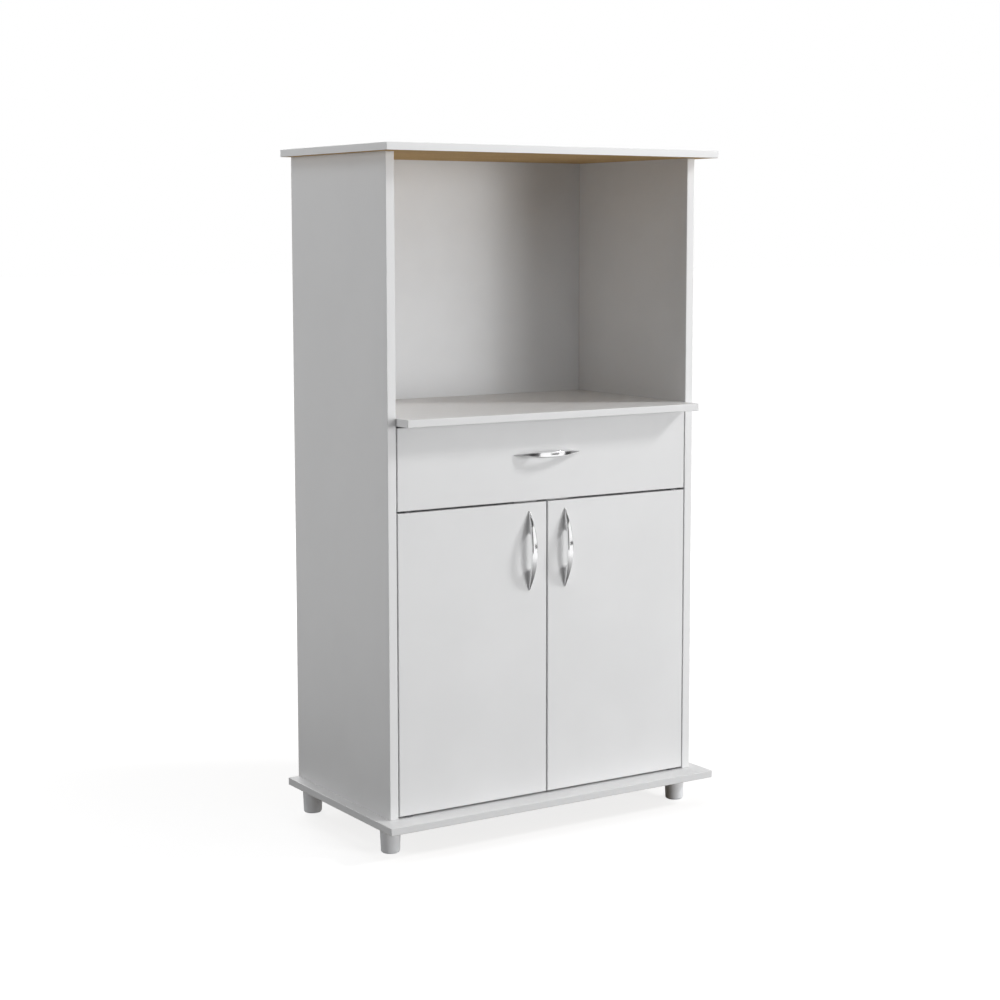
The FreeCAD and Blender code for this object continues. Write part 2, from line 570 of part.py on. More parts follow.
def back_panel():
    """The hardboard sheet nailed over the back."""
    piece = Piece("back_panel")
    piece.slab(("back_inset - outer_half", "outer_half - back_inset"),
               ("panel_depth", "panel_depth + back_thickness"),
               ("base_top - back_lap", "panel_top + back_lap"))
    piece.bores("XZ_Plane", ("panel_depth", NAIL_SPAN[1]), "nail_radius + press", NAILS)
    piece.bores("XZ_Plane", (f"{NAIL_SPAN[1]} - nail_head_thickness", NAIL_SPAN[1]),
                "nail_head_radius + press", NAILS)


def back_panel_nails():
    """The nails that hold the back panel."""
    piece = Piece("back_panel_nails")
    piece.rods("XZ_Plane", NAIL_SPAN, "nail_radius", NAILS)
    piece.rods("XZ_Plane", (f"{NAIL_SPAN[1]} - nail_head_thickness", NAIL_SPAN[1]), "nail_head_radius", NAILS)


def end_fixings(piece, bottom, cams, dowels):
    """Holes in the ends of a board that stands between the side panels on cam locks and dowels."""
    for side in SIDES.values():
        cam_x = on_side(side, "inner_half - cam_setback")
        piece.bores("XY_Plane", (bottom, f"{bottom} + cam_depth"), "cam_radius + press",
                    [(cam_x, y) for y, z in cams])
        piece.bores("YZ_Plane", span_on_side(side, "inner_half - cam_setback", "inner_half"),
                    "cam_bolt_hole_radius", cams)
        piece.bores("YZ_Plane",
                    span_on_side(side, "inner_half + dowel_short_end - dowel_length", "inner_half"),
                    "dowel_radius + press", dowels)


def bay_shelf():
    """The open bay's shelf. It reaches past the side panels to the front."""
    piece = Piece("bay_shelf")
    piece.slab(("-inner_half", "inner_half"), ("-shelf_overhang", "panel_depth"),
               ("shelf_bottom", "shelf_top"))
    band_edges(piece, ("y", "-shelf_overhang"))
    end_fixings(piece, "shelf_bottom", SHELF_CAMS, SHELF_DOWELS)
    nail_holes(piece, SHELF_NAILS)


def rail():
    """The flat rail between the drawer and the cupboard, which carries the upper pivots and the catches."""
    piece = Piece("drawer_rail")
    piece.slab(("-inner_half", "inner_half"), ("rail_front", "rail_back"), ("rail_bottom", "rail_top"))
    end_fixings(piece, "rail_bottom", RAIL_CAMS, RAIL_DOWELS)
    reach = ("rail_bottom", "rail_bottom - plate_thickness + small_screw_length")
    piece.bores("XY_Plane", reach, "small_screw_radius + press", grid(both_sides("pivot_x"), PLATE_SCREW_YS))
    piece.bores("XY_Plane", reach, "small_screw_radius + press", CATCH_SCREWS)


def inner_shelf():
    """The loose shelf behind the doors."""
    piece = Piece("inner_shelf")
    piece.slab(("inner_shelf_play - inner_half", "inner_half - inner_shelf_play"),
               ("inner_shelf_setback", "inner_shelf_back"),
               ("inner_shelf_bottom", "inner_shelf_bottom + inner_shelf_thickness"))
    band_edges(piece, ("y", "inner_shelf_setback"))


def shelf_pins():
    """The four pins under the inner shelf."""
    piece = Piece("shelf_pins")
    for side in SIDES.values():
        piece.rods("YZ_Plane",
                   span_on_side(side, "inner_half - shelf_pin_reach", "inner_half + shelf_pin_depth"),
                   "shelf_pin_radius", SHELF_PINS)


def carcass_screws():
    """The long screws through the base and top boards into the side panels."""
    piece = Piece("carcass_screws")
    for heads, shanks, threads in ((BASE_HEADS, BASE_SHANKS, BASE_THREADS),
                                   (TOP_HEADS, TOP_SHANKS, TOP_THREADS)):
        piece.rods("XY_Plane", heads, "carcass_head_radius", CARCASS_SCREWS)
        piece.rods("XY_Plane", shanks, "carcass_screw_radius", CARCASS_SCREWS)
        piece.rods("XY_Plane", threads, "carcass_thread_radius", CARCASS_SCREWS)
    piece.recesses("XY_Plane", ("foot_height", "foot_height + recess_depth"), CARCASS_SCREWS)
    piece.recesses("XY_Plane", (f"{TOP_HEADS[1]} - recess_depth", TOP_HEADS[1]), CARCASS_SCREWS)


def dowels():
    """The wooden dowels of the carcass."""
    piece = Piece("carcass_dowels")
    for span in (BASE_DOWELS, TOP_DOWELS):
        piece.rods("XY_Plane", span, "dowel_radius", CARCASS_DOWELS)
    for side in SIDES.values():
        low = "inner_half + dowel_short_end - dowel_length"
        piece.rods("YZ_Plane", span_on_side(side, low, f"{low} + dowel_length"),
                   "dowel_radius", SHELF_DOWELS + RAIL_DOWELS)


def cam_bolts():
    """The bolts in the side panels that the cam locks pull on."""
    piece = Piece("cam_bolts")
    centres = SHELF_CAMS + RAIL_CAMS
    for side in SIDES.values():
        for low, high, radius in (
                ("inner_half", "inner_half + cam_bolt_reach", "cam_bolt_thread_radius"),
                ("inner_half - cam_setback", "inner_half", "cam_bolt_shank_radius"),
                ("inner_half - cam_setback - cam_bolt_head_length / 2",
                 "inner_half - cam_setback + cam_bolt_head_length / 2", "cam_bolt_head_radius")):
            piece.rods("YZ_Plane", span_on_side(side, low, high), radius, centres)


def cam_locks():
    """The cam discs in the undersides of the bay's shelf and the rail."""
    piece = Piece("cam_locks")
    for bottom, centres in (("shelf_bottom", SHELF_CAMS), ("rail_bottom", RAIL_CAMS)):
        for side in SIDES.values():
            x = on_side(side, "inner_half - cam_setback")
            piece.rods("XY_Plane", (bottom, f"{bottom} + cam_depth"), "cam_radius",
                       [(x, y) for y, z in centres])
    for bottom, centres in (("shelf_bottom", SHELF_CAMS), ("rail_bottom", RAIL_CAMS)):
        for side in SIDES.values():
            x = on_side(side, "inner_half - cam_setback")
            piece.bores("YZ_Plane",
                        span_on_side(side, "inner_half - cam_setback - cam_bolt_head_length", "inner_half"),
                        "cam_bolt_hole_radius", centres)
            slots = [rectangle((f"{x} - cam_slot_length / 2", f"{x} + cam_slot_length / 2"),
                               (f"{y} - cam_slot_width / 2", f"{y} + cam_slot_width / 2"))
                     for y, z in centres]
            piece.profile("Pocket", "XY_Plane", (bottom, f"{bottom} + cam_slot_depth"), *slots)


def foot(label, x, y):
    """A tapered plastic foot with a recess for its screw."""
    piece = Piece(label, x, f"front_y + {y}")
    sketch = piece.sketch("XZ_Plane", "0")
    land = "foot_height - foot_land"
    piece.outline(sketch, [
        ("foot_recess_radius", "0"), ("foot_bottom_radius", "0"), ("foot_top_radius", "foot_height"),
        ("foot_screw_radius + press", "foot_height"), ("foot_screw_radius + press", land),
        ("foot_recess_radius", land)])
    turned = piece.body.newObject("PartDesign::Revolution", f"{label}_revolution")
    turned.Profile = sketch
    turned.ReferenceAxis = (sketch, ["V_Axis"])
    turned.Angle = 360
    bottom_radius = value("foot_bottom_radius")
    piece.round("foot_edge_round", lambda edge: edge.Curve.TypeId == "Part::GeomCircle"
                and abs(edge.Curve.Radius - bottom_radius) < 1e-6)


def foot_screws():
    """The screws that hold the feet."""
    piece = Piece("foot_screws")
    land = "foot_height - foot_land"
    piece.rods("XY_Plane", (f"{land} - foot_head_thickness", land), "foot_head_radius", FOOT_CENTRES)
    piece.rods("XY_Plane", (land, "foot_height + foot_screw_reach"), "foot_screw_radius", FOOT_CENTRES)
    piece.recesses("XY_Plane",
                   (f"{land} - foot_head_thickness", f"{land} - foot_head_thickness + recess_depth"),
                   FOOT_CENTRES)


def screw_caps():
    """The flush caps over the screws in the top board."""
    piece = Piece("screw_caps")
    piece.rods("XY_Plane", TOP_CAPS, "cap_radius", CARCASS_SCREWS)


def pivot_plate(level, name, side):
    """A steel plate with a hole for its pivot pin. It is screwed to the base board or under the rail."""
    bottom = "base_top" if level == "lower" else "plate_bottom"
    piece = Piece(f"pivot_plate_{level}_{name}")
    x = on_side(side, "pivot_x")
    piece.slab((f"{x} - plate_width / 2", f"{x} + plate_width / 2"),
               ("pivot_y - plate_width / 2", "pivot_y + plate_tail"), (bottom, f"{bottom} + plate_thickness"))
    piece.round("plate_corner_radius", lambda edge: abs(edge.tangentAt(edge.FirstParameter).z) > 0.5)
    piece.bores("XY_Plane", (bottom, f"{bottom} + plate_thickness"), "pivot_radius + press", [(x, "pivot_y")])
    screws = [(x, y) for y in PLATE_SCREW_YS]
    piece.bores("XY_Plane", (bottom, f"{bottom} + plate_thickness"), "small_screw_radius + press", screws)
    heads = plate_heads(level)
    piece.bores("XY_Plane", heads, "small_head_radius + press", screws)


def plate_heads(level):
    """Where the screw heads lie in a pivot plate's thickness."""
    if level == "lower":
        return "base_top + plate_thickness - small_head_thickness", "base_top + plate_thickness"
    return "plate_bottom", "plate_bottom + small_head_thickness"


def pivot_pins():
    """The four pins that the doors turn on. The lower ones have a shoulder that carries the door."""
    piece = Piece("pivot_pins")
    centres = grid(both_sides("pivot_x"), ["pivot_y"])
    piece.rods("XY_Plane", ("base_top", "door_bottom + pivot_reach"), "pivot_radius", centres)
    piece.rods("XY_Plane", ("base_top + plate_thickness", "base_top + plate_thickness + collar_height"),
               "collar_radius", centres)
    piece.rods("XY_Plane", ("door_top - pivot_reach", "rail_bottom"), "pivot_radius", centres)


def hardware_screws():
    """The small screws of the pivot plates, the catches and the cabinet's runners."""
    piece = Piece("hardware_screws")
    plates = grid(both_sides("pivot_x"), PLATE_SCREW_YS)
    tip = "base_top + plate_thickness - small_screw_length"
    piece.rods("XY_Plane", (tip, "base_top + plate_thickness"), "small_screw_radius", plates)
    piece.rods("XY_Plane", plate_heads("lower"), "small_head_radius", plates)
    piece.recesses("XY_Plane",
                   ("base_top + plate_thickness - recess_depth", "base_top + plate_thickness"), plates)
    piece.rods("XY_Plane", ("plate_bottom", "plate_bottom + small_screw_length"), "small_screw_radius",
               plates)
    piece.rods("XY_Plane", plate_heads("upper"), "small_head_radius", plates)
    piece.recesses("XY_Plane", ("plate_bottom", "plate_bottom + recess_depth"), plates)
    piece.rods("XY_Plane", ("catch_bottom", "rail_bottom - plate_thickness + small_screw_length"),
               "small_screw_radius", CATCH_SCREWS)
    piece.rods("XY_Plane", ("catch_bottom", "catch_bottom + small_head_thickness"), "small_head_radius",
               CATCH_SCREWS)
    piece.recesses("XY_Plane", ("catch_bottom", "catch_bottom + recess_depth"), CATCH_SCREWS)
    runner = [(y, "runner_web_z") for y in RUNNER_SCREW_YS]
    head = "inner_half - runner_sheet - small_head_thickness"
    for side in SIDES.values():
        tip = f"{head} + small_screw_length + small_head_thickness"
        piece.rods("YZ_Plane", span_on_side(side, head, tip), "small_screw_radius", runner)
        piece.rods("YZ_Plane", span_on_side(side, head, "inner_half - runner_sheet"),
                   "small_head_radius", runner)
        piece.recesses("YZ_Plane", span_on_side(side, head, f"{head} + recess_depth"), runner)


def catch_housings():
    """The plastic housings of the two magnetic catches, under the rail."""
    piece = Piece("catch_housings")
    for side in SIDES.values():
        piece.slab(span_on_side(side, "catch_offset", "catch_offset + catch_length"),
                   ("catch_front", "catch_front + catch_depth"), ("catch_bottom", "rail_bottom"))
    for side in SIDES.values():
        piece.cut(span_on_side(side, "catch_mid - magnet_length / 2 - press",
                               "catch_mid + magnet_length / 2 + press"),
                  ("catch_front", "catch_front + magnet_depth + press"),
                  ("magnet_bottom - press", "magnet_bottom + magnet_height + press"))
    piece.bores("XY_Plane", ("catch_bottom", "rail_bottom"), "small_screw_radius + press", CATCH_SCREWS)
    piece.bores("XY_Plane", ("catch_bottom", "catch_bottom + small_head_thickness"),
                "small_head_radius + press", CATCH_SCREWS)


def catch_magnets():
    """The magnets in the catches."""
    piece = Piece("catch_magnets")
    for side in SIDES.values():
        piece.slab(span_on_side(side, "catch_mid - magnet_length / 2", "catch_mid + magnet_length / 2"),
                   ("catch_front", "catch_front + magnet_depth"),
                   ("magnet_bottom", "magnet_bottom + magnet_height"))


def strike_plate(name, side):
    """The steel plate on a door that its catch holds, with the peg that fixes it."""
    piece = Piece(f"strike_plate_{name}")
    piece.slab(span_on_side(side, "catch_mid - strike_length / 2", "catch_mid + strike_length / 2"),
               ("front_thickness", "front_thickness + strike_thickness"),
               ("strike_z - strike_height / 2", "strike_z + strike_height / 2"))
    piece.rods("XZ_Plane", ("front_thickness - strike_peg_reach", "front_thickness"), "strike_peg_radius",
               [(on_side(side, "catch_mid"), "strike_z")])


def door(name, side):
    """An inset door, with holes for its bushes, handle and strike plate."""
    piece = Piece(f"door_{name}")
    piece.slab(span_on_side(side, "centre_gap / 2", "front_half"), ("0", "front_thickness"),
               ("door_bottom", "door_top"))
    band_edges(piece, ("y", "0"))
    pivot = [(on_side(side, "pivot_x"), "pivot_y")]
    for low, high, flange in (
            ("door_bottom", "door_bottom + bush_length",
             ("door_bottom", "door_bottom + bush_flange_thickness")),
            ("door_top - bush_length", "door_top", ("door_top - bush_flange_thickness", "door_top"))):
        piece.bores("XY_Plane", (low, high), "bush_radius + press", pivot)
        piece.bores("XY_Plane", flange, "bush_flange_radius + press", pivot)
    piece.bores("XZ_Plane", ("0", "front_thickness"), "handle_screw_radius + press", door_handle_holes(side))
    piece.bores("XZ_Plane", ("front_thickness - strike_peg_reach", "front_thickness"),
                "strike_peg_radius + press", [(on_side(side, "catch_mid"), "strike_z")])


def pivot_bushes(name, side):
    """The two flanged bushes in a door's lower and upper edges."""
    piece = Piece(f"pivot_bushes_{name}")
    pivot = [(on_side(side, "pivot_x"), "pivot_y")]
    spans = (("door_bottom", "door_bottom + bush_length"), ("door_top - bush_length", "door_top"))
    for span in spans:
        piece.rods("XY_Plane", span, "bush_radius", pivot)
    piece.rods("XY_Plane", ("door_bottom", "door_bottom + bush_flange_thickness"), "bush_flange_radius",
               pivot)
    piece.rods("XY_Plane", ("door_top - bush_flange_thickness", "door_top"), "bush_flange_radius", pivot)
    for span in spans:
        piece.bores("XY_Plane", span, "pivot_radius + pivot_play", pivot)


def bow_handle(label, x, z, upright):
    """A bow handle. It is drawn along X with its mounting face at Y = 0, and an upright one is turned."""
    piece = Piece(label, x, "front_y", z)
    if upright:
        piece.body.Placement.Rotation = FreeCAD.Rotation(FreeCAD.Vector(0, 1, 0), 90)
    tip = "handle_length / 2"
    heel = "handle_length / 2 - handle_foot"
    inner_radius = "bow_radius - handle_thickness"
    toe = f"({heel} - handle_thickness)"
    toe_y = f"bow_centre - sqrt(pow({inner_radius}; 2) - pow({toe}; 2))"
    piece.profile("Pad", "XY_Plane", ("-handle_width / 2", "handle_width / 2"), [
        (f"-{tip}", "-handle_tip_height", "bow_radius", -1), (tip, "-handle_tip_height"), (tip, "0"),
        (heel, "0"), (toe, toe_y, inner_radius, 1), (f"-{toe}", toe_y), (f"-({heel})", "0"),
        (f"-{tip}", "0")])
    half, tip_half = "handle_width / 2", "handle_tip_width / 2"
    lens_rise = f"({half} - {tip_half})"
    lens_radius = f"(pow({tip}; 2) + pow({lens_rise}; 2)) / (2 * {lens_rise})"
    margin = "handle_width"
    around = rectangle((f"-{tip} - {margin}", f"{tip} + {margin}"),
                       (f"-{half} - {margin}", f"{half} + {margin}"))
    lens = [(f"-{tip}", f"-{tip_half}", lens_radius, -1), (tip, f"-{tip_half}"),
            (tip, tip_half, lens_radius, -1), (f"-{tip}", tip_half)]
    piece.profile("Pocket", "XZ_Plane", (f"-handle_projection - {margin}", margin), around, lens)
    crest = -value("bow_rise") / 2
    piece.round("handle_round", lambda edge: edge.Length > value("handle_length")
                and all(vertex.Point.y < -1e-6 for vertex in edge.Vertexes) and edge.BoundBox.YMin < crest)
    holes = [(at, "0") for at in both_sides("handle_hole_spacing / 2")]
    piece.bores("XZ_Plane", ("-handle_screw_reach", "0"), "handle_screw_radius + press", holes)


def handle_screws(label, heads_at, holes):
    """The machine screws of a handle, from behind the board that carries it."""
    piece = Piece(label)
    piece.rods("XZ_Plane", ("-handle_screw_reach", heads_at), "handle_screw_radius", holes)
    piece.rods("XZ_Plane", (heads_at, f"{heads_at} + handle_screw_head_thickness"),
               "handle_screw_head_radius", holes)
    top = f"{heads_at} + handle_screw_head_thickness"
    piece.recesses("XZ_Plane", (f"{top} - recess_depth", top), holes)


def drawer_front():
    """The drawer's front board."""
    piece = Piece("drawer_front")
    piece.slab(("-front_half", "front_half"), ("0", "front_thickness"),
               ("drawer_front_bottom", "drawer_front_top"))
    band_edges(piece, ("y", "0"))
    piece.bores("XZ_Plane", ("0", "front_thickness"), "handle_screw_radius + press", DRAWER_HANDLE_HOLES)
    piece.bores("XZ_Plane", ("inner_front_back - front_screw_length", "front_thickness"),
                "box_screw_radius + press", FRONT_SCREWS)


def cross_board(label, ys, groove_ys, box_screw_y):
    """The drawer's inner front or back, between its sides."""
    piece = Piece(label)
    piece.slab(("-box_inner", "box_inner"), ys, ("box_bottom", "box_top"))
    piece.cut(("-box_inner", "box_inner"), groove_ys, ("groove_bottom", "groove_top"))
    for side in SIDES.values():
        piece.bores("YZ_Plane", span_on_side(side, "box_outer - box_screw_length", "box_inner"),
                    "box_screw_radius + press", grid([box_screw_y], BOX_SCREW_ZS))
    return piece


def drawer_inner_front():
    """The front of the drawer box, behind the drawer's front board."""
    ys = ("front_thickness", "inner_front_back")
    piece = cross_board("drawer_inner_front", ys, ("inner_front_back - groove_depth", "inner_front_back"),
                        BOX_SCREWS[0][0])
    piece.bores("XZ_Plane", ys, "handle_screw_radius + press", DRAWER_HANDLE_HOLES)
    piece.bores("XZ_Plane", ys, "box_screw_radius + press", FRONT_SCREWS)
    piece.bores("XZ_Plane", ("inner_front_back - box_head_thickness", "inner_front_back"),
                "box_head_radius + press", FRONT_SCREWS)


def drawer_back():
    """The back of the drawer box."""
    inner = "box_back - box_thickness"
    cross_board("drawer_back", (inner, "box_back"), (inner, f"{inner} + groove_depth"), BOX_SCREWS[-1][0])


def drawer_side(name, side):
    """A side of the drawer box."""
    piece = Piece(f"drawer_side_{name}")
    piece.slab(span_on_side(side, "box_inner", "box_outer"), ("front_thickness", "box_back"),
               ("box_bottom", "box_top"))
    piece.cut(span_on_side(side, "box_inner", "box_inner + groove_depth"), ("front_thickness", "box_back"),
              ("groove_bottom", "groove_top"))
    piece.bores("YZ_Plane", span_on_side(side, "box_inner", "box_outer"), "box_screw_radius + press",
                BOX_SCREWS)
    piece.bores("YZ_Plane", span_on_side(side, "box_outer - box_head_thickness", "box_outer"),
                "box_head_radius + press", BOX_SCREWS)
    piece.bores("YZ_Plane", span_on_side(side, "box_outer + runner_sheet - small_screw_length", "box_outer"),
                "small_screw_radius + press", [(y, "runner_web_z") for y in RUNNER_SCREW_YS])


def drawer_bottom():
    """The hardboard bottom in the grooves of the drawer box."""
    reach = "groove_depth - groove_play"
    piece = Piece("drawer_bottom")
    piece.slab((f"-(box_inner + {reach})", f"box_inner + {reach}"),
               (f"inner_front_back - ({reach})", f"box_back - box_thickness + {reach}"),
               ("groove_bottom + groove_play", "groove_top - groove_play"))


def drawer_box_screws():
    """The screws of the drawer box and of its front board."""
    piece = Piece("drawer_box_screws")
    for side in SIDES.values():
        piece.rods("YZ_Plane", span_on_side(side, "box_outer - box_screw_length", "box_outer"),
                   "box_screw_radius", BOX_SCREWS)
        piece.rods("YZ_Plane", span_on_side(side, "box_outer - box_head_thickness", "box_outer"),
                   "box_head_radius", BOX_SCREWS)
        piece.recesses("YZ_Plane", span_on_side(side, "box_outer - recess_depth", "box_outer"), BOX_SCREWS)
    piece.rods("XZ_Plane", ("inner_front_back - front_screw_length", "inner_front_back"), "box_screw_radius",
               FRONT_SCREWS)
    piece.rods("XZ_Plane", ("inner_front_back - box_head_thickness", "inner_front_back"), "box_head_radius",
               FRONT_SCREWS)
    piece.recesses("XZ_Plane", ("inner_front_back - recess_depth", "inner_front_back"), FRONT_SCREWS)


def away(side, inset):
    """A place in X at an inset from a side panel's inner face."""
    return on_side(side, f"inner_half - ({inset})")


def cabinet_runner(name, side):
    """The channel on a side panel, with the cabinet's roller at its front end."""
    piece = Piece(f"runner_cabinet_{name}")
    floor = "runner_gap - runner_sheet - runner_side_play"
    profile = [("0", "runner_z"), ("0", "runner_top"), ("upper_flange", "runner_top"),
               ("upper_flange", "runner_top - runner_sheet"), ("runner_sheet", "runner_top - runner_sheet"),
               ("runner_sheet", "runner_z + runner_sheet"), (floor, "runner_z + runner_sheet"),
               (floor, "runner_z")]
    piece.profile("Pad", "XZ_Plane", ("runner_setback", "runner_back"),
                  [(away(side, inset), z) for inset, z in profile])
    piece.cut(span_on_side(side, "inner_half - upper_flange", "inner_half - runner_sheet"),
              ("runner_setback", "runner_setback + entry_length"),
              ("runner_top - runner_sheet", "runner_top"))
    web = span_on_side(side, "inner_half - runner_sheet", "inner_half")
    piece.bores("YZ_Plane", web, "axle_radius + press", [("front_roller_y", "roller_z")])
    piece.bores("YZ_Plane", web, "small_screw_radius + press", [(y, "runner_web_z") for y in RUNNER_SCREW_YS])


def drawer_runner(name, side):
    """The rail under a drawer side. Its upper flange is the track that rides on the cabinet's roller."""
    piece = Piece(f"runner_drawer_{name}")
    web = "runner_gap - runner_sheet"
    track_edge = "runner_sheet + runner_side_play"
    under = "runner_gap + box_thickness"
    profile = [(track_edge, "track_z"), (track_edge, "track_z + runner_sheet"),
               ("runner_gap", "track_z + runner_sheet"), ("runner_gap", "box_bottom"), (under, "box_bottom"),
               (under, "box_bottom - runner_sheet"), (web, "box_bottom - runner_sheet"), (web, "track_z")]
    piece.profile("Pad", "XZ_Plane", ("runner_setback", "runner_back"),
                  [(away(side, inset), z) for inset, z in profile])
    holes = span_on_side(side, "box_outer", "box_outer + runner_sheet")
    piece.bores("YZ_Plane", holes, "axle_radius + press", [("rear_roller_y", "roller_z")])
    piece.bores("YZ_Plane", holes, "small_screw_radius + press",
                [(y, "runner_web_z") for y in RUNNER_SCREW_YS])


def runner_drawer_screws():
    """The screws that hold the drawer's runners."""
    piece = Piece("runner_drawer_screws")
    centres = [(y, "runner_web_z") for y in RUNNER_SCREW_YS]
    tip = "box_outer + runner_sheet - small_screw_length"
    head = "box_outer + runner_sheet"
    far = f"{head} + small_head_thickness"
    for side in SIDES.values():
        piece.rods("YZ_Plane", span_on_side(side, tip, far), "small_screw_radius", centres)
        piece.rods("YZ_Plane", span_on_side(side, head, far), "small_head_radius", centres)


ROLLERS = {
    "cabinet": ("front_roller_y", "runner_sheet + runner_side_play"),
    "drawer": ("rear_roller_y", "runner_gap - runner_sheet - runner_side_play - roller_width"),
}


def roller(member, name, side):
    """A plastic roller of a runner, on its axle."""
    y, near = ROLLERS[member]
    piece = Piece(f"roller_{member}_{name}")
    span = span_on_side(side, f"inner_half - ({near}) - roller_width", f"inner_half - ({near})")
    piece.rods("YZ_Plane", span, "roller_radius", [(y, "roller_z")])
    piece.round("roller_edge_round", lambda edge: edge.Curve.TypeId == "Part::GeomCircle")
    piece.bores("YZ_Plane", span, "axle_radius + pivot_play", [(y, "roller_z")])


def roller_axles(member):
    """The riveted axles of two rollers."""
    y, near = ROLLERS[member]
    piece = Piece(f"roller_axles_{member}")
    far = f"{near} + roller_width + runner_play"
    if member == "cabinet":
        shank = ("0", far)
        head = (far, f"{far} + axle_head_thickness")
    else:
        shank = (f"{near} - runner_play", "runner_gap")
        head = (f"{near} - runner_play - axle_head_thickness", f"{near} - runner_play")
    for side in SIDES.values():
        for (low, high), radius in ((shank, "axle_radius"), (head, "axle_head_radius")):
            piece.rods("YZ_Plane", span_on_side(side, f"inner_half - ({high})", f"inner_half - ({low})"),
                       radius, [(y, "roller_z")])


def build():
    """Model every sub-part."""
    base_board()
    top_board()
    back_panel()
    back_panel_nails()
    bay_shelf()
    rail()
    inner_shelf()
    shelf_pins()
    carcass_screws()
    screw_caps()
    dowels()
    cam_bolts()
    cam_locks()
    for row, y in zip(("front", "rear"), FOOT_YS):
        for name, side in SIDES.items():
            foot(f"foot_{row}_{name}", on_side(side, "foot_x"), y)
    foot_screws()
    pivot_pins()
    hardware_screws()
    catch_housings()
    catch_magnets()
    for name, side in SIDES.items():
        side_panel(name, side)
        for level in ("lower", "upper"):
            pivot_plate(level, name, side)
        door(name, side)
        pivot_bushes(name, side)
        strike_plate(name, side)
        bow_handle(f"door_handle_{name}", on_side(side, "door_handle_offset"), "door_handle_z", True)
        handle_screws(f"door_handle_screws_{name}", "front_thickness", door_handle_holes(side))
        drawer_side(name, side)
        cabinet_runner(name, side)
        drawer_runner(name, side)
        for member in ROLLERS:
            roller(member, name, side)
    drawer_front()
    drawer_inner_front()
    drawer_back()
    drawer_bottom()
    drawer_box_screws()
    bow_handle("drawer_handle", "0", "drawer_handle_z", False)
    handle_screws("drawer_handle_screws", "inner_front_back", DRAWER_HANDLE_HOLES)
    runner_drawer_screws()
    for member in ROLLERS:
        roller_axles(member)
    DOCUMENT.recompute()


def check():
    """Stop if any object failed, or a sub-part is not a valid solid."""
    for item in DOCUMENT.Objects:
        if "Invalid" in item.State or "Error" in item.State:
            raise RuntimeError(f"{item.Label} failed: {item.getStatusString()}")
    for body in PIECES:
        if body.Shape.isNull() or not body.Shape.isValid() or not body.Shape.Solids:
            raise RuntimeError(f"{body.Label} has no valid solid")


def write():
    """Write one STEP file for each sub-part."""
    os.makedirs("parts", exist_ok=True)
    for body in PIECES:
        body.Shape.exportStep(f"parts/{body.Label}.step")


build()
check()
write()
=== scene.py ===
"""The looks of a white microwave cabinet: its finishes, its fine pieces, and the studio that shows them.

Everything is in metres, X to the cabinet's right, Y to its back, Z up from the floor.
"""
from __future__ import annotations

import logging
import math
from abc import ABC, abstractmethod
from dataclasses import dataclass, field, fields
from enum import Enum
from typing import Any, Callable, Mapping, Sequence

import bmesh
import bpy
from mathutils import Matrix, Vector

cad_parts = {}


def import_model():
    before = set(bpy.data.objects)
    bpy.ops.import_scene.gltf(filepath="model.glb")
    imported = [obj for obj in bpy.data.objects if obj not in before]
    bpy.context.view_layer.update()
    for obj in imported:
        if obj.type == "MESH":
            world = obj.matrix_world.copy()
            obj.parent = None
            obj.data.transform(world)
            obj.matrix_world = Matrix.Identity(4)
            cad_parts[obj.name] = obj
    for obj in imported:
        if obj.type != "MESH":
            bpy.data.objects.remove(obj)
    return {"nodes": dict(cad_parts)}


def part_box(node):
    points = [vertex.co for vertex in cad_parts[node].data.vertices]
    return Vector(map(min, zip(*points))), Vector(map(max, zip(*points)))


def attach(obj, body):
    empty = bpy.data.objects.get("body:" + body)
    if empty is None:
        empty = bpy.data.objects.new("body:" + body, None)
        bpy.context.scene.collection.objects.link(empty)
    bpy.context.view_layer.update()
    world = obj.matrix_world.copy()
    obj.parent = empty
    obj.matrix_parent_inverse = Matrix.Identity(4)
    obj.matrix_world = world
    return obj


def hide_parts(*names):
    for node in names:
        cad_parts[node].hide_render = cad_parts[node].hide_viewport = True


LOG = logging.getLogger("microwave_cabinet")
NODES: dict[str, bpy.types.Object] = {}
Colour = tuple[float, float, float]
Socket = bpy.types.NodeSocket
Shell = bmesh.types.BMesh


class Axis(Enum):
    """An axis of the cabinet's frame."""

    X = 0
    Y = 1
    Z = 2


class Side(Enum):
    """A side of the cabinet, as seen from its front."""

    LEFT = -1
    RIGHT = 1

    @property
    def word(self) -> str:
        """The side's name in the names of pieces."""
        return self.name.lower()


# ---- Node graphs ----


def operation(name: str) -> Callable[..., Signal]:
    """Make a method of Signal that works out one operation.

    Args:
        name: The operation, as a Math node has it.

    Returns:
        The method. It takes the operation's other terms.
    """
    return lambda signal, *others: signal.graph.math(name, signal, *others)


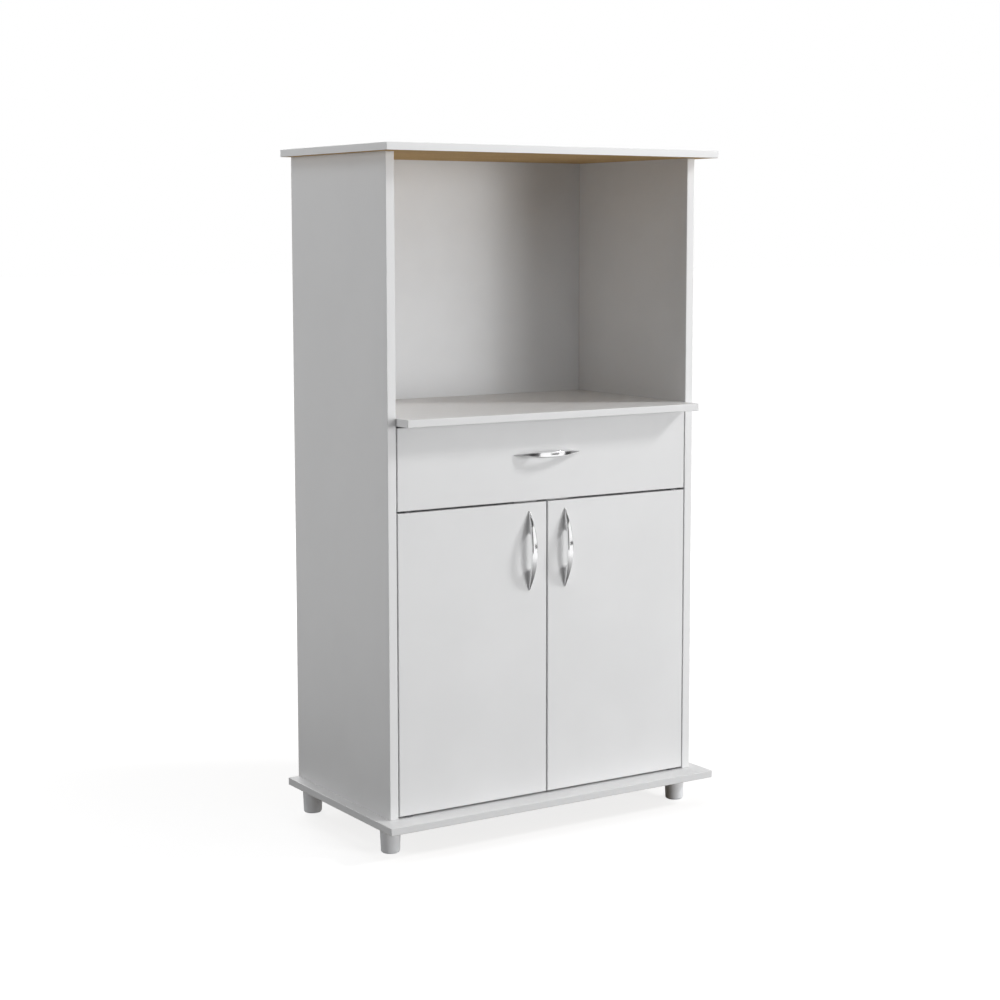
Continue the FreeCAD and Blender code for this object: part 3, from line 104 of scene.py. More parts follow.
@dataclass(frozen=True)
class Signal:
    """A number that a node puts out, and the arithmetic on it.

    above and below give 1 where they hold and 0 elsewhere. at_most and at_least limit the number.

    Attributes:
        graph: The graph that it is in.
        socket: The output that carries it.
    """

    graph: Graph
    socket: Socket

    __add__ = __radd__ = operation("ADD")
    __sub__ = operation("SUBTRACT")
    __mul__ = __rmul__ = operation("MULTIPLY")
    __truediv__ = operation("DIVIDE")
    __abs__ = operation("ABSOLUTE")
    root = operation("SQRT")
    above = operation("GREATER_THAN")
    below = operation("LESS_THAN")
    at_most = operation("MINIMUM")
    at_least = operation("MAXIMUM")

    def __rsub__(self, other: float) -> Signal:
        """The difference, from a number."""
        return self.graph.math("SUBTRACT", other, self)

    def spread(self, low: float = 0.3, high: float = 0.7, new_low: float = 0.0,
               new_high: float = 1.0) -> Signal:
        """Map a span smoothly to another one.

        Args:
            low: Where the smooth step begins.
            high: Where it ends.
            new_low: What comes out up to low.
            new_high: What comes out from high on.

        Returns:
            The mapped number.
        """
        return Signal(self.graph, self.graph.first(
            "ShaderNodeMapRange", {"interpolation_type": "SMOOTHSTEP"},
            {0: self, 1: low, 2: high, 3: new_low, 4: new_high}))


@dataclass(frozen=True)
class Graph:
    """Adds nodes to a tree and joins them.

    Attributes:
        tree: The node tree of a material, a world or a modifier.
    """

    tree: bpy.types.NodeTree

    def node(self, kind: str, settings: Mapping[str, Any] | None = None,
             inputs: Mapping[int | str, Any] | None = None) -> bpy.types.Node:
        """Add a node.

        Args:
            kind: The node's type.
            settings: Its properties.
            inputs: Its inputs by name or number, each a value, a signal or a socket.

        Returns:
            The node.
        """
        node = self.tree.nodes.new(kind)
        for name, value in (settings or {}).items():
            setattr(node, name, value)
        for key, value in (inputs or {}).items():
            self.feed(node.inputs[key], value)
        return node
    def first(self, kind: str, settings: Mapping[str, Any] | None = None,
              inputs: Mapping[int | str, Any] | None = None) -> Socket:
        """Add a node as node does, and take its first output."""
        return self.node(kind, settings, inputs).outputs[0]

    def feed(self, socket: Socket, value: Any) -> None:
        """Set an input, or link it.

        Args:
            socket: The input.
            value: A value, a signal, a socket, or a list of them for an input that takes several.
        """
        if isinstance(value, list):
            for item in value:
                self.feed(socket, item)
        elif isinstance(value, Signal):
            self.tree.links.new(value.socket, socket)
        elif isinstance(value, bpy.types.NodeSocket):
            self.tree.links.new(value, socket)
        elif socket.type == "RGBA":
            socket.default_value = (*value, 1.0)
        else:
            socket.default_value = value

    def math(self, name: str, *terms: Signal | float) -> Signal:
        """Combine numbers in one operation."""
        return Signal(self, self.first("ShaderNodeMath", {"operation": name}, dict(enumerate(terms))))

    def split(self, vector: Socket) -> tuple[Signal, ...]:
        """The three parts of a vector."""
        node = self.node("ShaderNodeSeparateXYZ", None, {0: vector})
        return tuple(Signal(self, part) for part in node.outputs)

    def vector(self, x: Any, y: Any, z: Any) -> Socket:
        """A vector of three numbers."""
        return self.first("ShaderNodeCombineXYZ", None, {0: x, 1: y, 2: z})

    def mix(self, share: Any, first: Any, second: Any) -> Socket:
        """Blend two colours."""
        return self.node("ShaderNodeMix", {"data_type": "RGBA"}, {0: share, 6: first, 7: second}).outputs[2]

    def noise(self, where: Socket, grain: float, detail: float = 2.0, warp: float = 0.0) -> Signal:
        """Smooth noise.

        Args:
            where: The coordinates.
            grain: The size of its patches, in metres.
            detail: How many finer octaves it has.
            warp: How much it is distorted.

        Returns:
            The noise, about 0.5.
        """
        return Signal(self, self.first("ShaderNodeTexNoise", None, {
            "Vector": where, "Scale": 1.0 / grain, "Detail": detail, "Distortion": warp}))

    def cells(self, where: Socket, grain: float) -> Socket:
        """A random colour for each cell of a size, in metres."""
        node = self.node("ShaderNodeTexVoronoi", None, {"Vector": where, "Scale": 1.0 / grain})
        return node.outputs["Color"]

    def stretch(self, where: Socket, factors: Colour) -> Socket:
        """Coordinates scaled along each axis. A factor under 1 makes a pattern longer that way."""
        return self.first("ShaderNodeMapping", None, {"Vector": where, "Scale": factors})

    def bump(self, height: Signal, depth: float, onto: Socket | None = None) -> Socket:
        """Turn a height into a normal.

        Args:
            height: The height, from 0 to 1.
            depth: How high 1 stands, in metres.
            onto: A normal that this one is added to.

        Returns:
            The normal.
        """
        inputs = {"Height": height, "Distance": depth, "Strength": 1.0}
        if onto is not None:
            inputs["Normal"] = onto
        return self.first("ShaderNodeBump", None, inputs)


# ---- Finishes ----


@dataclass(frozen=True)
class Coat:
    """A material in the making.

    Attributes:
        graph: Its nodes.
        shader: Its shader.
        where: Object coordinates, in metres.
    """

    graph: Graph
    shader: bpy.types.Node
    where: Socket

    def show(self, colour: Socket, rough: Signal, normal: Socket) -> None:
        """Give the shader its colour, roughness and normal."""
        for name, value in (("Base Color", colour), ("Roughness", rough), ("Normal", normal)):
            self.graph.feed(self.shader.inputs[name], value)


class Raw(Enum):
    """What shows on a face with no white facing."""

    CORE = "particle board core"
    BACKING = "brown backing"
    SCREEN = "hardboard with the print of a wire mesh"


# The dark and the light tone of each raw face, and the tone of the patches on it.
RAW_TONES: dict[Raw, tuple[Colour, Colour, Colour]] = {
    Raw.CORE: ((0.300, 0.190, 0.090), (0.640, 0.480, 0.290), (0.46, 0.33, 0.18)),
    Raw.BACKING: ((0.490, 0.318, 0.150), (0.620, 0.428, 0.222), (0.425, 0.272, 0.124)),
    Raw.SCREEN: ((0.150, 0.084, 0.040), (0.262, 0.158, 0.082), (0.205, 0.120, 0.060)),
}


@dataclass(frozen=True)
class RawFace:
    """A face with no white facing.

    Attributes:
        axis: The axis across the face.
        level: Where the face is.
        outward: 1 for a face at the high end of the board, -1 for one at the low end.
        look: What shows there.
        skin: How deep it reaches.
    """

    axis: Axis
    level: float
    outward: int
    look: Raw
    skin: float = 0.0002

    def mask(self, places: Sequence[Signal]) -> Signal:
        """1 on the face and 0 elsewhere, from the three coordinates."""
        return (places[self.axis.value] * float(self.outward)).above(self.level * self.outward - self.skin)

    def colour(self, coat: Coat) -> Socket:
        """Paint the face.

        Args:
            coat: The material.

        Returns:
            Its colour.
        """
        graph, where = coat.graph, coat.where
        if self.look is Raw.CORE:
            chips = graph.cells(graph.stretch(where, (0.45, 1.0, 1.0)), 0.0014)
            base = Signal(graph, graph.first("ShaderNodeSeparateColor", None, {0: chips})).spread(0.0, 1.0)
            patch = graph.noise(where, 0.0008, 3.0).spread(0.35, 0.65, 0.0, 0.5)
        elif self.look is Raw.BACKING:
            base = graph.noise(graph.stretch(where, (1.0, 3.5, 1.0)), 0.004, 5.0, 0.6).spread()
            patch = graph.noise(where, 0.07, 3.0).spread(0.35, 0.75, 0.0, 0.35)
        else:
            base = graph.noise(where, 0.0022, 6.0, 1.0).spread()
            patch = graph.noise(where, 0.12, 3.0).spread(0.35, 0.7, 0.0, 0.45)
        dark, light, patches = RAW_TONES[self.look]
        return graph.mix(patch, graph.mix(base, dark, light), patches)


@dataclass(frozen=True)
class Finish(ABC):
    """A finish that one or more pieces have.

    Attributes:
        name: The name of its material.
        colour: Its main colour.
        slot: The record's finish meant for a piece made in it; not used.
    """

    name: str
    colour: Colour
    slot: str = field(default="", kw_only=True)

    def material(self) -> bpy.types.Material:
        """The finish as a material, made once."""
        known = bpy.data.materials.get(self.name)
        if known:
            return known
        made = bpy.data.materials.new(self.name)
        made.use_nodes = True
        made.diffuse_color = (*self.colour, 1.0)
        graph = Graph(made.node_tree)
        where = graph.node("ShaderNodeTexCoord").outputs["Object"]
        self.paint(Coat(graph, made.node_tree.nodes["Principled BSDF"], where))
        return made

    @abstractmethod
    def paint(self, coat: Coat) -> None:
        """Connect the shader's inputs.

        Args:
            coat: The material in the making.
        """

    def tint(self, factor: float) -> Colour:
        """The finish's colour, lighter or darker."""
        return tuple(min(1.0, part * factor) for part in self.colour)


@dataclass(frozen=True)
class Melamine(Finish):
    """White melamine on particle board, with banded edges.

    Attributes:
        raw: Its faces with no white facing.
        bands: Levels along an axis where an edge band ends flush with a face.
        band_lift: How much lighter than the faces the bands are: partly the bands' own tone, partly painted
            light and shade set board by board.
        band_thickness: The thickness of a band.
        seam: Half the width of the hairline beside a band.
        gloss: How much its faces reflect.
    """

    raw: tuple[RawFace, ...] = ()
    bands: tuple[tuple[Axis, float], ...] = ()
    band_lift: float = 1.0
    band_thickness: float = 0.0006
    seam: float = 0.00008
    gloss: float = 0.42

    def paint(self, coat: Coat) -> None:
        """A faintly pearled white, with a hairline beside each edge band.

        Args:
            coat: The material in the making.
        """
        graph, where = coat.graph, coat.where
        places = graph.split(where)
        cloud = graph.noise(where, 0.16, 3.0)
        pearl = graph.noise(where, 0.0011, 2.0, 0.4)
        speck = graph.noise(where, 0.004, 4.0)
        smudge = graph.noise(where, 0.035, 5.0, 1.2)
        ripple = graph.noise(where, 0.009, 1.0)
        colour = graph.mix(cloud.spread(), self.tint(0.975), self.tint(1.012))
        colour = graph.mix(speck.spread(0.62, 0.8, 0.0, 0.25), colour, self.tint(0.93))
        for axis, level in self.bands:
            depth = abs(places[axis.value] - level)
            # The bands' tint is partly their own tone and partly painted light and shade on each board's
            # edge.
            colour = graph.mix(depth.below(self.band_thickness), colour, self.tint(self.band_lift))
            seam = abs(depth - self.band_thickness).below(self.seam)
            colour = graph.mix(seam * 0.35, colour, self.tint(0.55))
        rough = cloud.spread(0.25, 0.75, 0.40, 0.46) + pearl.spread(0.3, 0.7, -0.03, 0.03)
        rough = rough + smudge.spread(0.58, 0.72, 0.0, 0.05)
        gloss: Signal | float = self.gloss
        for face in self.raw:
            bare = face.mask(places)
            colour = graph.mix(bare, colour, face.colour(coat))
            rough = rough + bare * 0.5
            gloss = graph.math("MULTIPLY_ADD", bare, -0.38, gloss)
        graph.feed(coat.shader.inputs["Specular IOR Level"], gloss)
        coat.show(colour, rough, graph.bump(ripple, 0.00002, graph.bump(pearl, 0.000012)))


@dataclass(frozen=True)
class Hardboard(Finish):
    """Thin hardboard, lacquered white on one face and bare brown on the other.

    Attributes:
        bare: The bare face.
        wire: The spacing of the wires whose print it has.
    """

    bare: RawFace = RawFace(Axis.Y, 0.0, 1, Raw.SCREEN)
    wire: float = 0.0022

    def paint(self, coat: Coat) -> None:
        """White lacquer with a roller's stipple, and a brown back with the print of a wire mesh.

        Args:
            coat: The material in the making.
        """
        graph, where = coat.graph, coat.where
        places = graph.split(where)
        bare = self.bare.mask(places)
        stipple = graph.noise(where, 0.0016, 3.0)
        cloud = graph.noise(where, 0.12, 3.0)
        white = graph.mix(cloud.spread(), self.tint(0.97), self.tint(1.01))
        waves = [graph.math("SINE", places[axis.value] * (math.tau / self.wire))
                 for axis in Axis if axis is not self.bare.axis]
        normal = graph.bump(waves[0] * waves[1] * bare, 0.00006, graph.bump(stipple, 0.00003))
        coat.show(graph.mix(bare, white, self.bare.colour(coat)),
                  cloud.spread(0.3, 0.7, 0.42, 0.5) + bare * 0.28, normal)


@dataclass(frozen=True)
class Plated(Finish):
    """Plated metal, polished or dull.

    Attributes:
        polish: The roughness of its smooth parts.
        wear: How much rougher it is where it is worn.
        grain: The size of the patches of wear.
        mottle: How much its colour varies.
    """

    polish: float = 0.3
    wear: float = 0.12
    grain: float = 0.004
    mottle: float = 0.12

    def paint(self, coat: Coat) -> None:
        """Metal with fine marks of polishing and patches of wear.

        Args:
            coat: The material in the making.
        """
        graph, where = coat.graph, coat.where
        patch = graph.noise(where, self.grain, 3.0, 0.5)
        marks = graph.noise(where, self.grain / 8, 3.0)
        colour = graph.mix(patch.spread(), self.tint(1.0 - self.mottle), self.tint(1.0 + self.mottle / 2))
        rough = patch.spread(0.45, 0.75, self.polish, self.polish + self.wear)
        rough = rough + marks.spread(0.3, 0.7, 0.0, self.wear / 2)
        coat.show(colour, rough, graph.bump(marks, 0.0000015))
        coat.shader.inputs["Metallic"].default_value = 1.0


@dataclass(frozen=True)
class Moulded(Finish):
    """Moulded plastic, or paint baked on metal.

    Attributes:
        gloss: Its roughness.
        texture: The size of the grain of its surface.
        relief: The depth of that grain.
    """

    gloss: float = 0.42
    texture: float = 0.0008
    relief: float = 0.00001

    def paint(self, coat: Coat) -> None:
        """An even colour with the grain of a mould, and faint clouds and scuffs.

        Args:
            coat: The material in the making.
        """
        graph, where = coat.graph, coat.where
        grain = graph.noise(where, self.texture, 2.0)
        cloud = graph.noise(where, 0.02, 3.0)
        scuff = graph.noise(graph.stretch(where, (1.0, 1.0, 0.2)), 0.003, 4.0, 1.0)
        colour = graph.mix(cloud.spread(), self.tint(0.96), self.tint(1.02))
        colour = graph.mix(scuff.spread(0.66, 0.8, 0.0, 0.3), colour, self.tint(0.86))
        rough = cloud.spread(0.3, 0.7, self.gloss, self.gloss + 0.08)
        coat.show(colour, rough, graph.bump(grain, self.relief))


@dataclass(frozen=True)
class Beech(Finish):
    """Plain beech, with the flecks of its rays."""

    def paint(self, coat: Coat) -> None:
        """Long grain with short darker flecks.

        Args:
            coat: The material in the making.
        """
        graph, where = coat.graph, coat.where
        grain = graph.noise(graph.stretch(where, (0.15, 1.0, 1.0)), 0.0016, 4.0, 0.5)
        fleck = graph.noise(graph.stretch(where, (0.4, 1.0, 1.0)), 0.0006, 2.0)
        colour = graph.mix(grain.spread(), self.tint(0.8), self.tint(1.08))
        colour = graph.mix(fleck.spread(0.62, 0.75, 0.0, 0.6), colour, self.tint(0.6))
        coat.show(colour, grain.spread(0.3, 0.7, 0.5, 0.62), graph.bump(grain, 0.00003))


WHITE: Colour = (0.775, 0.777, 0.780)
BACK_WHITE: Colour = (0.772, 0.782, 0.796)
DRAWER_BOTTOM_WHITE: Colour = (0.70, 0.70, 0.70)
HANDLE_METAL = Plated("handle_chrome", (0.95, 0.95, 0.955), slot="handle_metal",
                      polish=0.10, wear=0.05, grain=0.006, mottle=0.03)
ZINC = Plated("zinc_plate", (0.60, 0.61, 0.64), slot="zinc_steel",
              polish=0.30, wear=0.16, grain=0.0022, mottle=0.16)
# Painted shade: the pivot plates get zinc far darker than the screws' so that their edges stay dark in the
# door gaps.
GAP_SHADED_ZINC = Plated("dull_zinc_plate", (0.30, 0.30, 0.315), slot="zinc_steel",
                   polish=0.42, wear=0.14, grain=0.0022, mottle=0.14)
CAST_ZINC = Plated("cast_zinc", (0.50, 0.50, 0.52), slot="cast_zinc",
                   polish=0.42, wear=0.18, grain=0.0012, mottle=0.18)
FERRITE = Moulded("ferrite", (0.035, 0.035, 0.036), slot="magnet",
                  gloss=0.55, texture=0.0004, relief=0.00002)
WHITE_PLASTIC = Moulded("white_plastic", (0.74, 0.74, 0.735), slot="white_plastic",
                        gloss=0.36, texture=0.0006, relief=0.000006)
FOOT_PLASTIC = Moulded("foot_plastic", (0.885, 0.905, 0.93), slot="grey_plastic",
                       gloss=0.38, texture=0.0007, relief=0.000012)
WHITE_STEEL = Moulded("white_powder_coat", (0.76, 0.76, 0.755), slot="white_steel",
                      gloss=0.40, texture=0.0015, relief=0.00002)
BEECH = Beech("beech", (0.56, 0.36, 0.19), slot="beech")


# ---- Meshes ----


def dress(node: str, finish: Finish) -> None:
    """Give a piece of the frame its finish.

    Args:
        node: The piece.
        finish: Its finish.
    """
    piece = NODES[node]
    if not piece.material_slots:
        piece.data.materials.append(finish.material())
    for slot in piece.material_slots:
        slot.material = finish.material()
    LOG.info("dressed %s in %s", node, finish.name)


def linked(name: str, mesh: bpy.types.Mesh) -> bpy.types.Object:
    """Put a mesh in the scene at the origin.

    Args:
        name: The object's name.
        mesh: Its mesh.

    Returns:
        The object.
    """
    made = bpy.data.objects.new(name, mesh)
    bpy.context.scene.collection.objects.link(made)
    return made


def mount(shell: Shell, node: str, made: str, finish: Finish, body: str, angle: float = 40.0) -> None:
    """Make a shell a piece that stands for one of the frame's and moves with its body. The shell is freed.

    Args:
        shell: The piece's faces, in their place.
        node: The piece of the frame that it stands for.
        made: How it is made, the last word of its name.
        finish: Its finish.
        body: The body that it rides on.
        angle: How much it turns at a hard edge, in degrees.
    """
    mesh = bpy.data.meshes.new(f"{node}_{made}")
    shell.to_mesh(mesh)
    shell.free()
    mesh.polygons.foreach_set("material_index", [0] * len(mesh.polygons))
    mesh.polygons.foreach_set("use_smooth", [True] * len(mesh.polygons))
    mesh.set_sharp_from_angle(angle=math.radians(angle))
    mesh.materials.append(finish.material())
    piece = linked(mesh.name, mesh)
    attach(piece, body)
    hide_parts(node)
    LOG.info("made %s on %s, %d faces", piece.name, body, len(mesh.polygons))


def merged_copy(node: str) -> Shell:
    """Copy a piece of the frame with its faces joined up.

    Args:
        node: The piece.

    Returns:
        The copy.
    """
    shell = bmesh.new()
    shell.from_mesh(NODES[node].data)
    bmesh.ops.remove_doubles(shell, verts=shell.verts, dist=1e-6)
    return shell


def islands(shell: Shell) -> list[list[Vector]]:
    """Part a shell into its separate solids.

    Args:
        shell: The shell.

    Returns:
        The points of each solid.
    """
    found: list[list[Vector]] = []
    seen: set[int] = set()
    shell.verts.ensure_lookup_table()
    for start in shell.verts:
        if start.index in seen:
            continue
        seen.add(start.index)
        stack, points = [start], []
        while stack:
            vertex = stack.pop()
            points.append(vertex.co.copy())
            for edge in vertex.link_edges:
                other = edge.other_vert(vertex)
                if other.index not in seen:
                    seen.add(other.index)
                    stack.append(other)
        found.append(points)
    return found


def softened(node: str, finish: Finish, body: str, edge: float) -> None:
    """Make a piece of the frame again, with softly rounded edges and smooth round faces.

    Args:
        node: The piece that it stands for.
        finish: Its finish.
        body: The body that it rides on.
        edge: The rounding of its edges, or 0 for none.
    """
    flat, sharp = math.radians(0.5), math.radians(50)
    shell = merged_copy(node)
    bmesh.ops.dissolve_limit(shell, angle_limit=flat, verts=shell.verts, edges=shell.edges)
    if edge:
        corners = [line for line in shell.edges
                   if len(line.link_faces) == 2 and line.calc_face_angle(0.0) > sharp]
        bmesh.ops.bevel(shell, geom=corners, offset=edge, segments=2, profile=0.5, affect="EDGES",
                        clamp_overlap=True)
    mount(shell, node, "finished", finish, body, 35.0)


def turned(profile: Sequence[tuple[float, float]], place: Matrix, segments: int = 72) -> Shell:
    """Turn a section on a lathe.

    Args:
        profile: Radius and height of each corner, all the way round the section.
        place: What brings it from the Z axis to its place.
        segments: How many steps a turn has.

    Returns:
        What it makes.
    """
    shell = bmesh.new()
    corners = [shell.verts.new((radius, 0.0, height)) for radius, height in profile]
    edges = [shell.edges.new((corners[i], corners[(i + 1) % len(corners)])) for i in range(len(corners))]
    bmesh.ops.spin(shell, geom=[*corners, *edges], cent=(0, 0, 0), axis=(0, 0, 1), angle=math.tau,
                   steps=segments, use_duplicate=False)
    bmesh.ops.remove_doubles(shell, verts=shell.verts, dist=1e-7)
    bmesh.ops.recalc_face_normals(shell, faces=shell.faces)
    shell.transform(place)
    return shell


def rounded(radius: float, centre: tuple[float, float], steps: int, start: float,
            end: float) -> list[tuple[float, float]]:
    """Points on an arc.

    Args:
        radius: Its radius.
        centre: Its centre.
        steps: How many steps it has.
        start: The angle where it starts, in degrees.
        end: The angle where it ends, in degrees.

    Returns:
        The points.
    """
    turns = [math.radians(start + (end - start) * step / steps) for step in range(steps + 1)]
    return [(centre[0] + radius * math.cos(turn), centre[1] + radius * math.sin(turn)) for turn in turns]


def grow_into(shell: Shell, tree: bpy.types.NodeTree, seeds: bpy.types.Mesh,
              sizes: Mapping[str, Any]) -> None:
    """Run a tree of geometry nodes on some points and add what it makes to a shell.

    Args:
        shell: The shell.
        tree: The tree.
        seeds: The mesh that the tree starts from.
        sizes: The tree's inputs, by name.
    """
    carrier = linked(f"{seeds.name}_carrier", seeds)
    modifier = carrier.modifiers.new("grow", "NODES")
    modifier.node_group = tree
    identifiers = {item.name: item.identifier for item in tree.interface.items_tree if item.in_out == "INPUT"}
    for key, value in sizes.items():
        modifier[identifiers[key]] = value
    carrier.update_tag()
    evaluated = carrier.evaluated_get(bpy.context.evaluated_depsgraph_get())
    mesh = bpy.data.meshes.new_from_object(evaluated)
    carrier.modifiers.remove(modifier)
    bpy.data.objects.remove(carrier)
    shell.from_mesh(mesh)
    bpy.data.meshes.remove(mesh)


def new_tree(name: str, inputs: Mapping[str, str]) -> tuple[Graph, dict[str, Signal]]:
    """Start a tree of geometry nodes.

    Args:
        name: Its name.
        inputs: The kind of each of its own inputs, by name. It has one for the material as well.

    Returns:
        The tree's graph, and its inputs as signals.
    """
    tree = bpy.data.node_groups.new(name, "GeometryNodeTree")
    for way in ("INPUT", "OUTPUT"):
        tree.interface.new_socket("Geometry", in_out=way, socket_type="NodeSocketGeometry")
    for key, kind in {**inputs, "Material": "Material"}.items():
        tree.interface.new_socket(key, in_out="INPUT", socket_type=f"NodeSocket{kind}")
    graph = Graph(tree)
    start = graph.node("NodeGroupInput")
    return graph, {socket.name: Signal(graph, socket) for socket in start.outputs if socket.name}


def finish_tree(graph: Graph, geometry: Socket, material: Signal) -> bpy.types.NodeTree:
    """End a tree of geometry nodes in plain geometry with its material.

    Args:
        graph: The tree's graph.
        geometry: What the tree has made.
        material: The tree's input for the material.

    Returns:
        The tree.
    """
    real = graph.first("GeometryNodeRealizeInstances", None, {0: geometry})
    painted = graph.first("GeometryNodeSetMaterial", None, {"Geometry": real, "Material": material})
    graph.node("NodeGroupOutput", None, {0: painted})
    return graph.tree


# ---- Screws and nails ----


@dataclass(frozen=True)
class Fastener:
    """A screw or nail as the frame has it.

    Attributes:
        seat: The middle of its head's underside.
        outward: The way its head faces.
        head_radius: Its head's radius.
        head_height: Its head's height.
        shank_radius: Its shank's radius.
        length: Its length under the head.
    """

    seat: Vector
    outward: Vector
    head_radius: float
    head_height: float
    shank_radius: float
    length: float

    @classmethod
    def measured(cls, points: Sequence[Vector]) -> Fastener:
        """Measure a turned solid with a head at one end.

        Args:
            points: The solid's points.

        Returns:
            The fastener.
        """
        low = Vector(min(point[i] for point in points) for i in range(3))
        high = Vector(max(point[i] for point in points) for i in range(3))
        size, middle = high - low, (low + high) / 2
        axis = max(range(3), key=lambda i: size[i])
        head_share, near = 0.97, 1e-5

        def radius(point: Vector) -> float:
            """A point's distance from the axis."""
            return math.hypot(*(point[i] - middle[i] for i in range(3) if i != axis))

        widest = max(radius(point) for point in points)
        head = [point[axis] for point in points if radius(point) > head_share * widest]
        sign = 1.0 if min(abs(high[axis] - place) for place in head) < near else -1.0
        top, under = (max(head), min(head)) if sign > 0 else (min(head), max(head))
        tip = low[axis] if sign > 0 else high[axis]
        shank = max(radius(point) for point in points if abs(point[axis] - tip) < near)
        outward, seat = Vector((0, 0, 0)), middle.copy()
        outward[axis], seat[axis] = sign, under
        return cls(seat, outward, widest, abs(top - under), shank, abs(under - tip))


@dataclass
class Fasteners:
    """The cabinet's screws and nails, each group grown on the places where the frame has them.

    Attributes:
        recess_share: The cross recess's length as a share of the head's radius.
        recess_width: The width of its arms.
        recess_depth: Its depth as a share of the head's height.
        crown: The radius of a head's top as a share of its own.
        rim: The height of a head's upright edge as a share of its own.
        seed: The start of the random turns of the recesses.
        tree: What grows them.
    """

    recess_share: float = 1.15
    recess_width: float = 0.0008
    recess_depth: float = 0.7
    crown: float = 0.86
    rim: float = 0.45
    seed: int = 7
    tree: bpy.types.NodeTree = field(init=False)

    def __post_init__(self) -> None:
        """Build the tree."""
        self.tree = self.build_tree()

    def build_tree(self) -> bpy.types.NodeTree:
        """A crowned head with a cross recess on a shank, copied to each point.

        Returns:
            The tree.
        """
        graph, given = new_tree("fastener_rows", {
            **dict.fromkeys(("Head Radius", "Head Height", "Crown", "Shank Radius", "Shank Length",
                             "Recess Length", "Recess Width", "Recess Depth"), "Float"),
            "Recess": "Bool", "Seed": "Int"})

        def raised(mesh: Socket, height: Signal) -> Socket:
            """A mesh moved up."""
            return graph.first("GeometryNodeTransform", None, {
                "Geometry": mesh, "Translation": graph.vector(0.0, 0.0, height)})

        def boolean(kind: str, inputs: Mapping[str, Any]) -> Socket:
            """Meshes joined or cut."""
            return graph.first("GeometryNodeMeshBoolean", {"operation": kind, "solver": "EXACT"}, inputs)

        capped = {"fill_type": "NGON"}
        radius, height = given["Head Radius"], given["Head Height"]
        head, crown = (graph.first("GeometryNodeMeshCone", capped, {
            "Vertices": 40, "Side Segments": 1, "Radius Top": top, "Radius Bottom": radius,
            "Depth": height * share}) for top, share in (
                (radius, self.rim), (radius * given["Crown"], 1.0 - self.rim)))
        whole = boolean("UNION", {"Mesh 2": [head, raised(crown, height * self.rim)]})
        arms = [raised(graph.first("GeometryNodeMeshCube", None, {
            "Size": graph.vector(given[x], given[y], given["Recess Depth"] * 2.0)}), height)
            for x, y in (("Recess Length", "Recess Width"), ("Recess Width", "Recess Length"))]
        cut = boolean("DIFFERENCE", {"Mesh 1": whole, "Mesh 2": arms})
        chosen = graph.first("GeometryNodeSwitch", {"input_type": "GEOMETRY"}, {
            "Switch": given["Recess"], "False": whole, "True": cut})
        shank = graph.first("GeometryNodeMeshCylinder", capped, {
            "Vertices": 20, "Radius": given["Shank Radius"], "Depth": given["Shank Length"]})
        unit = graph.first("GeometryNodeJoinGeometry", None, {
            0: [chosen, raised(shank, given["Shank Length"] * -0.5)]})
        outward = graph.first("GeometryNodeInputNamedAttribute", {"data_type": "FLOAT_VECTOR"},
                              {"Name": "outward"})
        aimed = graph.first("FunctionNodeAlignRotationToVector", {"axis": "Z"}, {"Vector": outward})
        chance = graph.node("FunctionNodeRandomValue", {"data_type": "FLOAT"},
                            {"Min": 0.0, "Max": math.tau, "Seed": given["Seed"]})
        turn = graph.first("FunctionNodeEulerToRotation", None, {
            0: graph.vector(0.0, 0.0, next(out for out in chance.outputs if out.enabled))})
        spun = graph.first("FunctionNodeRotateRotation", {"rotation_space": "LOCAL"}, {0: aimed, 1: turn})
        copies = graph.first("GeometryNodeInstanceOnPoints", None, {
            "Points": given["Geometry"], "Instance": unit, "Rotation": spun})
        return finish_tree(graph, copies, given["Material"])

    def grow(self, node: str, body: str, recess: bool = True) -> None:
        """Make a group of fasteners in place of the frame's.

        Args:
            node: The group in the frame.
            body: The body that it rides on.
            recess: Whether the heads have a cross recess.
        """
        shell = merged_copy(node)
        kinds: dict[tuple[int, ...], list[Fastener]] = {}
        for item in map(Fastener.measured, islands(shell)):
            key = tuple(round(size * 1e4) for size in (item.head_radius, item.head_height, item.length))
            kinds.setdefault(key, []).append(item)
        shell.free()
        joined = bmesh.new()
        for items in kinds.values():
            self.grow_kind(joined, items, recess)
        mount(joined, node, "turned", ZINC, body)

    def grow_kind(self, shell: Shell, items: Sequence[Fastener], recess: bool) -> None:
        """Grow the fasteners of one size.

        Args:
            shell: What they are added to.
            items: The fasteners.
            recess: Whether the heads have a cross recess.
        """
        first = items[0]
        seeds = bpy.data.meshes.new("fastener_places")
        seeds.from_pydata([item.seat for item in items], [], [])
        outward = seeds.attributes.new("outward", "FLOAT_VECTOR", "POINT")
        outward.data.foreach_set("vector", [part for item in items for part in item.outward])
        grow_into(shell, self.tree, seeds, {
            "Head Radius": first.head_radius, "Head Height": first.head_height, "Crown": self.crown,
            "Shank Radius": first.shank_radius, "Shank Length": first.length,
            "Recess Length": first.head_radius * self.recess_share, "Recess Width": self.recess_width,
            "Recess Depth": first.head_height * self.recess_depth, "Recess": recess, "Seed": self.seed,
            "Material": ZINC.material()})


# ---- Handles ----


